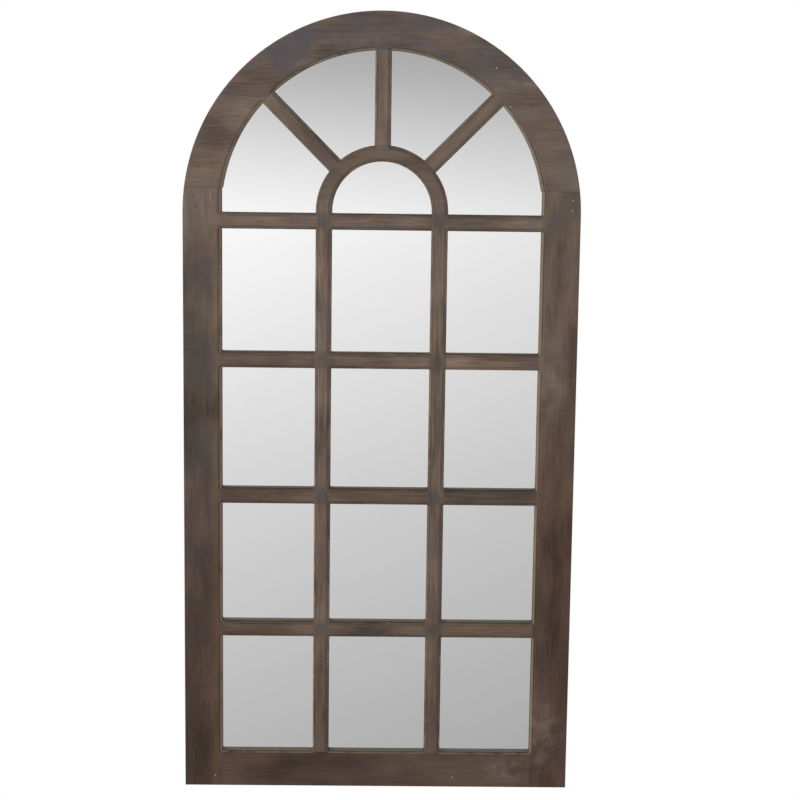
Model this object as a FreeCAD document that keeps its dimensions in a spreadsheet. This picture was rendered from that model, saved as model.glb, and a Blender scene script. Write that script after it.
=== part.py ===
import FreeCAD, Part
import Sketcher
import os

# Arched window mirror: a wooden sash with a fan head, two silvered sheets and a screwed back.
#
# Everything is laid out as on a bench: the face of the wood lies on y = 0, depth grows towards
# +y, the underside of the bottom rail lies on z = 0 and x = 0 is the middle. Each finished piece
# is then moved forward by half the thickness, so the origin is the middle of the bottom edge.
# Millimetres. Left is -x.

doc = FreeCAD.newDocument("ArchedWindowMirror")

# ---------------------------------------------------------------------------------------------
# Driving dimensions
# ---------------------------------------------------------------------------------------------

SIZES = [
    # the sash as a whole
    ("width", 610, "over both stiles, and the diameter of the head"),
    ("height", 1220, "bottom edge to crown"),
    ("thickness", 20, "of the outer members, face to back"),
    ("outer_round", 1.5, "rounding of the outer front edge"),
    ("stile_width", 59, ""),
    ("rail_width", 57, ""),
    ("arch_width", 58, "band of the half-round head"),
    ("arch_foot", 37, "joint of head and stile, above the head's centre"),
    # glazing bars
    ("bar_width", 25, "every bar, spoke and the hub's ring"),
    ("centre_light", 153, "clear width of the middle column"),
    ("hub_lift", 3, "hub's centre above the transom"),
    ("hub_foot", 20, "joint of hub and upright, above the transom"),
    ("spoke_angle", 45, "side spokes from the upright, degrees"),
    # moulded edge round every light
    ("arris", 1, "worn edge between face and step"),
    ("quirk", 1.2, "sunk step below the face"),
    ("quirk_land", 0.6, "flat at the foot of the step"),
    ("ovolo", 4.4, "quarter round below the step"),
    ("cutter_round", 2.5, "corner radius that the moulding cutter leaves at the sight line"),
    # glass and back
    ("glass_depth", 13, "face of the wood to face of the glass, also the bars' depth"),
    ("glass_thickness", 4, ""),
    ("glass_rebate", 8, "glass rebate beyond the sight line"),
    ("glass_play", 1, "round the glass"),
    ("sheet_gap", 0.3, "between the two sheets, and under the lower one"),
    ("board_rebate", 20, "board rebate beyond the sight line"),
    ("board_play", 0.5, "round the board"),
    ("board_thickness", 3, "hardboard, flush with the back"),
    # joinery
    ("bar_tenon_setback", 6.5, "face of the wood to the tenon's cheek"),
    ("bar_tenon_thickness", 5, ""),
    ("bar_tenon_width", 15, ""),
    ("bar_tenon_length", 22, "into stile or rail"),
    ("rail_tenon_setback", 6, ""),
    ("rail_tenon_thickness", 6, ""),
    ("rail_tenon_width", 35, ""),
    ("rail_tenon_length", 40, ""),
    ("rail_tenon_base", 12, "bottom edge to the rail's tenon"),
    ("spoke_tenon_in_arch", 18, ""),
    ("spoke_tenon_in_hub", 12, ""),
    ("mortise_end", 1, "room at a tenon's end"),
    ("joint_play", 0.15, "round a tenon or dowel"),
    ("arch_dowel_diameter", 8, ""),
    ("arch_dowel_reach", 24, "each way from the joint"),
    ("arch_dowel_inset", 15, "sight line to the inner dowel"),
    ("arch_dowel_spacing", 28, "inner to outer dowel"),
    ("hub_dowel_diameter", 5, ""),
    ("hub_dowel_reach", 12, "each way from the joint"),
    # screws of the back
    ("back_screw_inset", 14, "sight line to screw"),
    ("back_screw_shank", 3, ""),
    ("back_screw_head", 6, ""),
    ("back_screw_sink", 1.5, "depth of the countersunk head"),
    ("back_screw_length", 12, ""),
    # hangers
    ("hanger_drop", 92, "joint of head and stile to the rings' axis"),
    ("hanger_inset", 19.5, "outer edge to the strap's middle"),
    ("strap_sheet", 1, "steel sheet, folded double"),
    ("strap_width", 16, ""),
    ("strap_length", 45, "rings' axis to the strap's end"),
    ("strap_corner", 3, ""),
    ("strap_screw_first", 26, "rings' axis to the first screw"),
    ("strap_screw_pitch", 12, ""),
    ("ring_wire", 3, ""),
    ("ring_play", 0.06, "between wire and barrel, radial"),
    ("ring_rest_gap", 0.3, "hanging ring to strap"),
    ("ring_bar", 18, "straight bar in the barrel"),
    ("ring_corner", 4, "radius from the bar to the legs"),
    ("ring_leg", 2, "straight legs"),
    ("hanger_screw_shank", 3.5, ""),
    ("hanger_screw_head", 6.6, ""),
    ("hanger_screw_head_height", 2, ""),
    ("hanger_screw_length", 14, ""),
    ("hanger_screw_play", 0.3, "shank in the strap's hole"),
    ("screw_play", 0.05, "round a screw in its hole"),
    # bumpers
    ("bumper_diameter", 14, ""),
    ("bumper_height", 3, ""),
    ("bumper_round", 1, ""),
    ("bumper_rise", 28, "bottom edge to the bumpers' middle"),
]
ROWS = 4  # lights in each column below the transom

sheet = doc.addObject("Spreadsheet::Sheet", "Sizes")
for line, (alias, amount, note) in enumerate(SIZES, start=1):
    sheet.set(f"A{line}", alias.replace("_", " "))
    sheet.set(f"B{line}", str(amount))
    sheet.setAlias(f"B{line}", alias)
    sheet.set(f"C{line}", note)
doc.recompute()


def size(text):
    """An expression with each alias in square brackets replaced by its cell."""
    return "(" + text.replace("[", "Sizes.").replace("]", "") + ")"


# Places that several pieces share, as expressions.
HALF = size("[width] / 2")
BACK = size("[thickness]")
ARCH_Z = size("[height] - [width] / 2")
SIGHT_X = size("[width] / 2 - [stile_width]")
SIGHT_R = size("[width] / 2 - [arch_width]")
FOOT_Z = size(f"{ARCH_Z} + [arch_foot]")
HUB_Z = size(f"{ARCH_Z} + [hub_lift]")
HUB_FOOT_Z = size(f"{ARCH_Z} + [hub_foot]")
HUB_IN = size("[centre_light] / 2")
HUB_OUT = size("[centre_light] / 2 + [bar_width]")
HUB_MID = size("[centre_light] / 2 + [bar_width] / 2")
LIGHT_H = size(f"({ARCH_Z} - [rail_width] - {ROWS} * [bar_width]) / {ROWS}")
PITCH = size(f"{LIGHT_H} + [bar_width]")
TRANSOM_Z = size(f"{ARCH_Z} - [bar_width]")
SHEET_JOINT_Z = size(f"{ARCH_Z} - [bar_width] / 2")
MOULDING = size("[ovolo] + [quirk_land]")
BOARD_Y = size("[glass_depth] + [glass_thickness]")
BOARD_BACK = size("[glass_depth] + [glass_thickness] + [board_thickness]")
HANGER_Z = size(f"{FOOT_Z} - [hanger_drop]")
CORNER = size("min([cutter_round]; 0.9 * [hub_lift])")  # must not reach past the ring's straight foot
LAP_Y = size("[glass_depth] / 2")
LIP = size("0.4")  # the cutter's widest step stays this far above the face
EASING = size(f"{LIP} + [arris]")
MARGIN = 1  # how far a cutting tool starts or ends outside the wood


def value(expression):
    return float(sheet.evalExpression(expression))


# ---------------------------------------------------------------------------------------------
# Helpers
# ---------------------------------------------------------------------------------------------

ALONG_Y = FreeCAD.Rotation(FreeCAD.Vector(0, 0, -1), FreeCAD.Vector(-1, 0, 0), FreeCAD.Vector(0, 1, 0), "XYZ")
finished = []


def bind(thing, **expressions):
    """Ties properties to expressions; x, y and z are the place."""
    for name, expression in expressions.items():
        path = f"Placement.Base.{name}" if name in ("x", "y", "z") else name
        thing.setExpression(path, str(expression))
    return thing


def box(name, x, y, z, dx, dy, dz):
    thing = doc.addObject("Part::Box", name)
    return bind(thing, x=x, y=y, z=z, Length=dx, Width=dy, Height=dz)


def disc(name, radius, x, y, z, depth):
    """A round plate that lies in the sash's plane, its seam at the bottom."""
    thing = doc.addObject("Part::Cylinder", name)
    thing.Placement.Rotation = ALONG_Y
    return bind(thing, x=x, y=y, z=z, Radius=radius, Height=depth)


def upright_rod(name, radius, x, y, z, length):
    thing = doc.addObject("Part::Cylinder", name)
    return bind(thing, x=x, y=y, z=z, Radius=radius, Height=length)


def radial_box(name, angle, start, length, width, y, depth):
    """A bar that points from the head's centre, at angle from the upright."""
    thing = doc.addObject("Part::Box", name)
    thing.Placement.Rotation = FreeCAD.Rotation(FreeCAD.Vector(0, 1, 0), 10)
    bind(thing, Length=width, Width=depth, Height=length)
    thing.setExpression("Placement.Rotation.Angle", angle)
    return bind(
        thing,
        x=f"{start} * sin({angle}) - {width} / 2 * cos({angle})",
        y=y,
        z=f"{ARCH_Z} + {start} * cos({angle}) + {width} / 2 * sin({angle})",
    )


def join(name, parts):
    thing = doc.addObject("Part::MultiFuse", name)
    thing.Shapes = list(parts)
    return thing


def shared(name, parts):
    thing = doc.addObject("Part::MultiCommon", name)
    thing.Shapes = list(parts)
    return thing


def cut(name, base, *tools):
    thing = doc.addObject("Part::Cut", name)
    thing.Base = base
    thing.Tool = tools[0] if len(tools) == 1 else join(name + "_tools", tools)
    return thing


def finish(thing, label):
    """Names a piece and moves it from the bench to its place in the part's frame."""
    thing.Label = label
    base = thing.Placement.Base.y
    moved = f"{base} - {BACK} / 2"
    for path, expression in thing.ExpressionEngine:
        if path.strip(".") == "Placement.Base.y":
            moved = f"{expression} - {BACK} / 2"
    bind(thing, y=moved)
    finished.append(thing)
    return thing


def plane(body, role):
    return next(p for p in body.Origin.OriginFeatures if p.Role == role)


def sketch_on(body, name, role):
    sketch = body.newObject("Sketcher::SketchObject", name)
    sketch.AttachmentSupport = [(plane(body, role), "")]
    sketch.MapMode = "FlatFace"
    return sketch


def outline(sketch, points, turns=()):
    """A closed outline through points given as pairs of expressions.

    turns maps a point's number to the centre of the arc that leaves it anticlockwise. The arc's
    far end is held by one coordinate only, the one that crosses the arc most squarely.
    """
    turns = dict(turns)
    spots = [FreeCAD.Vector(value(u), value(v), 0) for u, v in points]
    centres = {i: FreeCAD.Vector(value(u), value(v), 0) for i, (u, v) in turns.items()}
    count = len(spots)
    for i, spot in enumerate(spots):
        after = spots[(i + 1) % count]
        if i in turns:
            round_ = Part.Circle(centres[i], FreeCAD.Vector(0, 0, 1), (spot - centres[i]).Length)
            sketch.addGeometry(Part.ArcOfCircle(round_, round_.parameter(spot), round_.parameter(after)))
        else:
            sketch.addGeometry(Part.LineSegment(spot, after))
    for i in range(count):
        sketch.addConstraint(Sketcher.Constraint("Coincident", i, 2, (i + 1) % count, 1))
    for i, (u, v) in enumerate(points):
        before = (i - 1) % count
        arm = spots[i] - centres.get(before, spots[i])
        if abs(arm.y) >= abs(arm.x):
            pin(sketch, "DistanceX", i, 1, u)
        if before not in turns or abs(arm.y) < abs(arm.x):
            pin(sketch, "DistanceY", i, 1, v)
    for i, (u, v) in turns.items():
        pin(sketch, "DistanceX", i, 3, u)
        pin(sketch, "DistanceY", i, 3, v)


def pin(sketch, kind, geometry, point, expression):
    """Holds a point's distance from the sketch's origin to an expression."""
    number = sketch.addConstraint(Sketcher.Constraint(kind, -1, 1, geometry, point, value(expression)))
    sketch.setExpression(f"Constraints[{number}]", expression)


def circle(sketch, u, v, radius):
    centre = FreeCAD.Vector(value(u), value(v), 0)
    number = sketch.addGeometry(Part.Circle(centre, FreeCAD.Vector(0, 0, 1), value(radius)))
    pin(sketch, "DistanceX", number, 3, u)
    pin(sketch, "DistanceY", number, 3, v)
    held = sketch.addConstraint(Sketcher.Constraint("Radius", number, value(radius)))
    sketch.setExpression(f"Constraints[{held}]", radius)
    return number


def pad(body, name, sketch, length, side="One side", backwards=False):
    thing = body.newObject("PartDesign::Pad", name)
    thing.Profile = sketch
    thing.SideType = side
    thing.Reversed = backwards
    return bind(thing, Length=length)


def dressed(name, solid, steps):
    """A body that takes over a solid; each step rounds or bevels the edges that its test picks."""
    doc.recompute()
    body = doc.addObject("PartDesign::Body", name)
    body.AllowCompound = True
    body.BaseFeature = solid
    doc.recompute()
    base = body.Group[0]
    for kind, choose, dimension, amount in steps:
        edges = enumerate(base.Shape.Edges, start=1)
        picked = [f"Edge{i}" for i, edge in edges if choose(edge, base.Shape)]
        step = body.newObject(f"PartDesign::{kind}", f"{name}_{kind.lower()}")
        step.Base = (base, picked)
        bind(step, **{dimension: amount})
        body.Tip = step
        doc.recompute()
        base = step
    return body


def faces_beside(edge, shape):
    return shape.ancestorsOfType(edge, Part.Face)


def middle(edge):
    return edge.valueAt((edge.FirstParameter + edge.LastParameter) / 2)


def is_corner(edge, shape):
    """An edge square to the face of the sash where two walls meet at an angle."""
    if len(edge.Vertexes) < 2 or edge.BoundBox.XLength > 0.01 or edge.BoundBox.ZLength > 0.01:
        return False
    beside = faces_beside(edge, shape)
    if len(beside) != 2:
        return False
    spot = middle(edge)
    first, second = (face.normalAt(*face.Surface.parameter(spot)) for face in beside)
    return abs(first.dot(second)) < 0.95


def is_foot(edge, shape, depth):
    """An edge at a depth, at the foot of a wider step, where a deeper wall starts."""
    limits = edge.BoundBox
    if abs(limits.YMin - depth) > 0.001 or abs(limits.YMax - depth) > 0.001:
        return False
    return any(face.BoundBox.YMax > depth + 0.5 for face in faces_beside(edge, shape))


def is_step_foot(edge, shape):
    return is_foot(edge, shape, value("Sizes.quirk"))


def is_lip_foot(edge, shape):
    return is_foot(edge, shape, -value(LIP))


# ---------------------------------------------------------------------------------------------
# The moulding cutters: what a router takes away round every light
# ---------------------------------------------------------------------------------------------

SPOKES = [
    ("left", size("-[spoke_angle]")),
    ("centre", "0"),
    ("right", size("[spoke_angle]")),
]
THROUGH = size("[thickness] + 4")  # depth of a tool that goes right through


def hub_ring(name, grow, y, depth):
    """The hub's ring above its centre, thinner all round by grow."""
    outer = disc(name + "_outside", f"{HUB_OUT} - {grow}", 0, y, HUB_Z, depth)
    inner = disc(name + "_inside", f"{HUB_IN} + {grow}", 0, y, HUB_Z, depth)
    upper = box(name + "_upper", f"-{HUB_OUT}", y, HUB_Z, f"2 * {HUB_OUT}", depth, f"2 * {HUB_OUT}")
    return shared(name, [cut(name + "_round", outer, inner), upper])


def uprights(name, grow, base, top):
    """Both upright bars between two heights, thinner on both sides by grow."""
    bars = []
    for side, x in (("left", f"-{HUB_OUT} + {grow}"), ("right", f"{HUB_IN} + {grow}")):
        width = size(f"[bar_width] - 2 * {grow}")
        bars.append(box(f"{name}_{side}", x, -2, base, width, THROUGH, f"{top} - {base}"))
    return bars


def square_openings(name, grow, depth):
    """Every light below the transom, and the feet of those above it, with straight sides."""
    left = f"-{SIGHT_X} - {grow}"
    base = size(f"[rail_width] - {grow}")
    top = size(f"{FOOT_Z} + [arch_foot] + {grow}")
    sash = box(name + "_sash", left, f"-{MARGIN}", base, f"2 * ({SIGHT_X} + {grow})", depth, f"{top} - {base}")
    members = uprights(name + "_upright", grow, size("[rail_width] / 2"), HUB_Z)
    members.append(hub_ring(name + "_hub", grow, -2, THROUGH))
    for row in range(1, ROWS + 1):
        z = size(f"[rail_width] + {row} * {PITCH} - [bar_width] + {grow}")
        height = size(f"[bar_width] - 2 * {grow}")
        members.append(box(f"{name}_bar{row}", f"-{HALF}", -2, z, "Sizes.width", THROUGH, height))
    return cut(name, sash, *members)


def fan_openings(name, grow, depth):
    """The lights of the fan, bounded by the head's inner circle."""
    reach = f"({SIGHT_R} + {grow})"
    head = disc(name + "_head", reach, 0, f"-{MARGIN}", ARCH_Z, depth)
    upper = box(name + "_upper", f"-{HALF}", -3, f"{ARCH_Z} - {grow}", "Sizes.width", depth + " + 6", HALF)
    members = uprights(name + "_upright", grow, TRANSOM_Z, HUB_Z)
    members.append(hub_ring(name + "_hub", grow, -2, THROUGH))
    for spoke, angle in SPOKES:
        width = size(f"[bar_width] - 2 * {grow}")
        members.append(radial_box(f"{name}_{spoke}", angle, HUB_MID, HALF, width, -2, THROUGH))
    return cut(name, shared(name + "_sector", [head, upper]), *members)


def moulding_cutter(name, openings):
    """A stem as wide as the lights, a wider shallow head, and a lip that eases the face's edge.

    A quarter round joins stem and head, and a bevel joins head and lip.
    """
    bevel_room = size(f"{MOULDING} + 1.25 * {EASING}")
    layers = []
    for layer, grow, depth in (
        ("stem", "0", size(f"[glass_depth] + 2 * {MARGIN}")),
        ("head", MOULDING, size(f"[quirk] + {MARGIN}")),
        ("lip", bevel_room, size(f"{MARGIN} - {LIP}")),
    ):
        light = openings(f"{name}_{layer}", grow, depth)
        corner = size(f"{CORNER} + {grow}")
        layers.append(dressed(f"{name}_{layer}_body", light, [("Fillet", is_corner, "Radius", corner)]))
    both = join(name + "_blank", layers)
    return dressed(
        name,
        both,
        [
            ("Fillet", is_step_foot, "Radius", "Sizes.ovolo"),
            ("Chamfer", is_lip_foot, "Size", EASING),
        ],
    )


square_cutter = moulding_cutter("square_lights", square_openings)
fan_cutter = moulding_cutter("fan_lights", fan_openings)


# ---------------------------------------------------------------------------------------------
# The outer members: the whole outline, sawn into head, stiles and rail
# ---------------------------------------------------------------------------------------------


def is_outer_front(edge, shape):
    """The outline's edges on the face of the wood, where a hand runs round the frame."""
    limits = edge.BoundBox
    return limits.YMax < 0.001


def make_slab():
    """The outline as one plate with its front edge rounded."""
    plate = box("slab_plate", f"-{HALF}", 0, 0, "Sizes.width", BACK, ARCH_Z)
    crown = disc("slab_crown", HALF, 0, 0, ARCH_Z, BACK)
    whole = join("slab_whole", [plate, crown])
    whole.Refine = True
    return dressed("slab", whole, [("Fillet", is_outer_front, "Radius", "Sizes.outer_round")])


slab = make_slab()


def rebates(name, round_head):
    """What is taken out of the back for the glass and, wider and shallower, for the board."""
    steps = []
    for layer, reach, depth in (
        ("glass", "Sizes.glass_rebate", size("[glass_depth]")),
        ("board", "Sizes.board_rebate", BOARD_Y),
    ):
        deep = size(f"[thickness] - {depth} + {MARGIN}")
        if round_head:
            steps.append(disc(f"{name}_{layer}", f"{SIGHT_R} + {reach}", 0, depth, ARCH_Z, deep))
        else:
            low = size(f"[rail_width] - {reach}")
            side = f"({SIGHT_X} + {reach})"
            high = size(f"{FOOT_Z} + {MARGIN}")
            steps.append(box(f"{name}_{layer}", f"-{side}", depth, low, f"2 * {side}", deep, f"{high} - {low}"))
    return join(name, steps)


straight_rebate = rebates("straight_rebate", round_head=False)
round_rebate = rebates("round_rebate", round_head=True)


# ---------------------------------------------------------------------------------------------
# Pegs: tenons and dowels, and the same shapes with play as the tools for their holes
# ---------------------------------------------------------------------------------------------

BAR_CHEEKS = ("Sizes.bar_tenon_setback", "Sizes.bar_tenon_thickness")
RAIL_CHEEKS = ("Sizes.rail_tenon_setback", "Sizes.rail_tenon_thickness")
ARCH_DOWEL_Y = size("[rail_tenon_setback] + [rail_tenon_thickness] / 2")
HUB_DOWEL_Y = size("[bar_tenon_setback] + [bar_tenon_thickness] / 2")
NO_PLAY = "0"
PLAY = size("[joint_play]")


def end_room(play):
    return "0" if play == NO_PLAY else size("[mortise_end]")


def peg_box(name, x, z, dx, dz, cheeks, play):
    setback, thickness = cheeks
    depth = size(f"{thickness} + 2 * {play}")
    return box(
        name, f"{x} - {play}", f"{setback} - {play}", f"{z} - {play}", f"{dx} + 2 * {play}", depth,
        f"{dz} + 2 * {play}",
    )


def side_tenon(name, side, z, width, length, cheeks, play):
    """A tenon from a level member into the stile on that side, -1 or 1."""
    room = end_room(play)
    x = f"-{SIGHT_X} - {length} - {room}" if side < 0 else SIGHT_X
    return peg_box(name, f"({x})", z, f"({length} + {room})", width, cheeks, play)


def bar_z(row):
    """Underside of the level bar above a row of lights; the top one is the transom."""
    return size(f"[rail_width] + {row} * {PITCH} - [bar_width]")


def bar_side_tenon(name, side, row, play):
    z = size(f"{bar_z(row)} + ([bar_width] - [bar_tenon_width]) / 2")
    return side_tenon(name, side, z, "Sizes.bar_tenon_width", "Sizes.bar_tenon_length", BAR_CHEEKS, play)


def rail_side_tenon(name, side, play):
    width, length = "Sizes.rail_tenon_width", "Sizes.rail_tenon_length"
    return side_tenon(name, side, "Sizes.rail_tenon_base", width, length, RAIL_CHEEKS, play)


def upright_foot_tenon(name, side, play):
    room = end_room(play)
    x = size(f"{side} * {HUB_MID} - [bar_tenon_width] / 2")
    z = size(f"[rail_width] - [bar_tenon_length] - {room}")
    length = size(f"[bar_tenon_length] + {room}")
    return peg_box(name, x, z, "Sizes.bar_tenon_width", length, BAR_CHEEKS, play)


def spoke_tenon(name, angle, outer, play):
    """A spoke's tenon into the head, or into the hub."""
    room = end_room(play)
    setback, thickness = BAR_CHEEKS
    if outer:
        start = size(f"{SIGHT_R} - {MARGIN}")
        length = size(f"[spoke_tenon_in_arch] + {room} + {MARGIN}")
    else:
        start = size(f"{HUB_OUT} - [spoke_tenon_in_hub] - {room}")
        length = size(f"[spoke_tenon_in_hub] + {room} + [hub_lift] + {MARGIN}")
    width = size(f"[bar_tenon_width] + 2 * {play}")
    depth = size(f"{thickness} + 2 * {play}")
    return radial_box(name, angle, start, length, width, f"{setback} - {play}", depth)


def arch_dowel(name, side, number, play):
    x = size(f"{side} * ({SIGHT_X} + [arch_dowel_inset] + {number} * [arch_dowel_spacing])")
    reach = size(f"[arch_dowel_reach] + {end_room(play)}")
    radius = size(f"[arch_dowel_diameter] / 2 + {play}")
    return upright_rod(name, radius, x, ARCH_DOWEL_Y, f"{FOOT_Z} - {reach}", f"2 * {reach}")


def hub_dowel(name, side, play):
    rise = size("[hub_foot] - [hub_lift]")
    x = size(f"{side} * sqrt({HUB_MID} ^ 2 - {rise} ^ 2)")
    reach = size(f"[hub_dowel_reach] + {end_room(play)}")
    radius = size(f"[hub_dowel_diameter] / 2 + {play}")
    return upright_rod(name, radius, x, HUB_DOWEL_Y, f"{HUB_FOOT_Z} - {reach}", f"2 * {reach}")


SIDES = [("left", -1), ("right", 1)]
LEVEL_BARS = ["cross_bar_lower", "cross_bar_middle", "cross_bar_upper", "transom"]


# ---------------------------------------------------------------------------------------------
# Screws
# ---------------------------------------------------------------------------------------------


def back_screw_places():
    """x and z of each screw through the board: beside every light, below it and round the head."""
    inset = "Sizes.back_screw_inset"
    places = []
    for row in range(ROWS):
        z = size(f"[rail_width] + {row} * {PITCH} + {LIGHT_H} / 2")
        places.append((f"-{SIGHT_X} - {inset}", z))
        places.append((f"{SIGHT_X} + {inset}", z))
    rail_z = size(f"[rail_width] - {inset}")
    column = size(f"({HUB_OUT} + {SIGHT_X}) / 2")
    for x in (f"-{column}", "0", column):
        places.append((x, rail_z))
    for between in (-1.5, -0.5, 0.5, 1.5):
        angle = f"({between} * Sizes.spoke_angle)"
        reach = f"({SIGHT_R} + {inset})"
        places.append((f"{reach} * sin({angle})", f"{ARCH_Z} + {reach} * cos({angle})"))
    return places


def back_screw(name, x, z, play):
    """A countersunk screw, its head flush with the board; with play, the hole for it."""
    radius = size(f"[back_screw_shank] / 2 + {play}")
    head = size(f"[back_screw_head] / 2 + {play}")
    sink = "Sizes.back_screw_sink"
    length = size(f"[back_screw_length] + {play}")
    shank = disc(name + "_shank", radius, x, f"{BOARD_BACK} - {length}", z, length)
    cone = doc.addObject("Part::Cone", name + "_cone")
    cone.Placement.Rotation = ALONG_Y
    bind(cone, x=x, y=f"{BOARD_BACK} - {sink}", z=z, Radius1=radius, Radius2=head, Height=sink)
    return join(name, [shank, cone])


def hanger_screw_places():
    places = []
    for name, side in SIDES:
        for number in (0, 1):
            x = size(f"{side} * ({HALF} - [hanger_inset])")
            z = size(f"{HANGER_Z} - [strap_screw_first] - {number} * [strap_screw_pitch]")
            places.append((x, z))
    return places


def hanger_screw_shank(name, x, z, play):
    radius = size(f"[hanger_screw_shank] / 2 + {play}")
    top = size("[thickness] + 2 * [strap_sheet]")
    length = size(f"[hanger_screw_length] + {play}")
    return disc(name, radius, x, f"{top} - {length}", z, length)


back_screw_holes = join(
    "back_screw_holes",
    [back_screw(f"back_hole{i}", x, z, "Sizes.screw_play") for i, (x, z) in enumerate(back_screw_places())],
)
hanger_screw_holes = join(
    "hanger_screw_holes",
    [
        hanger_screw_shank(f"hanger_hole{i}", x, z, "Sizes.screw_play")
        for i, (x, z) in enumerate(hanger_screw_places())
    ],
)


# ---------------------------------------------------------------------------------------------
# Outer members
# ---------------------------------------------------------------------------------------------


def make_stile(name, side):
    """Side member: its outline follows the head's circle above the transom."""
    inner = SIGHT_X if side > 0 else f"-{HALF}"
    strip = box(f"stile_{name}_strip", inner, 0, 0, "Sizes.stile_width", BACK, FOOT_Z)
    blank = shared(f"stile_{name}_blank", [slab, strip])
    holes = [rail_side_tenon(f"rail_mortise_{name}", side, PLAY)]
    for row, bar in enumerate(LEVEL_BARS, start=1):
        holes.append(bar_side_tenon(f"{bar}_mortise_{name}", side, row, PLAY))
    for number in (0, 1):
        holes.append(arch_dowel(f"stile_dowel_hole_{name}{number}", side, number, PLAY))
    piece = cut(
        f"stile_{name}", blank, square_cutter, straight_rebate, back_screw_holes, hanger_screw_holes, *holes
    )
    return finish(piece, f"stile_{name}")


def make_rail():
    left = f"-{SIGHT_X}"
    strip = box("rail_strip", left, 0, 0, f"2 * {SIGHT_X}", BACK, "Sizes.rail_width")
    blank = shared("rail_blank", [slab, strip])
    holes = [upright_foot_tenon(f"upright_mortise_{name}", side, PLAY) for name, side in SIDES]
    shaped = cut("rail_shaped", blank, square_cutter, straight_rebate, back_screw_holes, *holes)
    tenons = [rail_side_tenon(f"rail_tenon_{name}", side, NO_PLAY) for name, side in SIDES]
    return finish(join("bottom_rail", [shaped] + tenons), "bottom_rail")


def make_arch():
    """Half-round head, sawn square at both feet."""
    above = box("arch_above", f"-{HALF}", 0, FOOT_Z, "Sizes.width", BACK, HALF)
    inner = disc("arch_inner", SIGHT_R, 0, f"-{MARGIN}", ARCH_Z, size(f"[thickness] + 2 * {MARGIN}"))
    band = cut("arch_band", shared("arch_outline", [slab, above]), inner)
    holes = [spoke_tenon(f"arch_mortise_{name}", angle, True, PLAY) for name, angle in SPOKES]
    for name, side in SIDES:
        for number in (0, 1):
            holes.append(arch_dowel(f"arch_dowel_hole_{name}{number}", side, number, PLAY))
    return finish(cut("arch", band, fan_cutter, round_rebate, back_screw_holes, *holes), "arch")


for name, side in SIDES:
    make_stile(name, side)
make_rail()
make_arch()


# ---------------------------------------------------------------------------------------------
# Glazing bars
# ---------------------------------------------------------------------------------------------

BAR_DEPTH = size("[glass_depth]")


def make_level_bar(name, row):
    """Level bar between the stiles; the uprights lie in notches in its front half."""
    z = bar_z(row)
    stock = box(f"{name}_stock", f"-{SIGHT_X}", 0, z, f"2 * {SIGHT_X}", BAR_DEPTH, "Sizes.bar_width")
    notches = []
    for side, x in (("left", f"-{HUB_OUT}"), ("right", HUB_IN)):
        front = f"{LAP_Y} + {MARGIN}"
        notches.append(
            box(f"{name}_notch_{side}", x, f"-{MARGIN}", f"{z} - {MARGIN}", "Sizes.bar_width", front,
                size(f"[bar_width] + 2 * {MARGIN}"))
        )
    shaped = cut(f"{name}_shaped", stock, square_cutter, *notches)
    tenons = [bar_side_tenon(f"{name}_tenon_{side}", sign, row, NO_PLAY) for side, sign in SIDES]
    return finish(join(name, [shaped] + tenons), name)


def make_upright(name, side):
    """Upright bar from the rail to the hub, notched behind for every level bar."""
    x = HUB_IN if side > 0 else f"-{HUB_OUT}"
    straight = box(
        f"upright_{name}_straight", x, 0, "Sizes.rail_width", "Sizes.bar_width", BAR_DEPTH,
        f"{HUB_Z} - {size('[rail_width]')}",
    )
    ring = hub_ring(f"upright_{name}_ring", "0", 0, BAR_DEPTH)
    foot_x = "0" if side > 0 else f"-{HALF}"
    foot = box(f"upright_{name}_foot", foot_x, -1, HUB_Z, HALF, size("[thickness]"), f"{HUB_FOOT_Z} - {HUB_Z}")
    bent = shared(f"upright_{name}_bent", [ring, foot])
    stock = join(f"upright_{name}_stock", [straight, bent])
    notches = []
    for row in range(1, ROWS + 1):
        notches.append(
            box(f"upright_{name}_notch{row}", f"{x} - {MARGIN}", LAP_Y, bar_z(row),
                size(f"[bar_width] + 2 * {MARGIN}"), BAR_DEPTH, "Sizes.bar_width")
        )
    hole = hub_dowel(f"upright_{name}_dowel_hole", side, PLAY)
    shaped = cut(f"upright_{name}_shaped", stock, square_cutter, hole, *notches)
    tenon = upright_foot_tenon(f"upright_{name}_tenon", side, NO_PLAY)
    return finish(join(f"upright_bar_{name}", [shaped, tenon]), f"upright_bar_{name}")


def make_hub():
    """Small half-round ring above the transom."""
    ring = hub_ring("hub_stock", "0", 0, BAR_DEPTH)
    above = box("hub_above", f"-{HALF}", -1, HUB_FOOT_Z, "Sizes.width", size("[thickness]"), HALF)
    blank = shared("hub_blank", [ring, above])
    holes = [spoke_tenon(f"hub_mortise_{name}", angle, False, PLAY) for name, angle in SPOKES]
    holes += [hub_dowel(f"hub_dowel_hole_{name}", side, PLAY) for name, side in SIDES]
    return finish(cut("hub_arch", blank, fan_cutter, *holes), "hub_arch")


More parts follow.
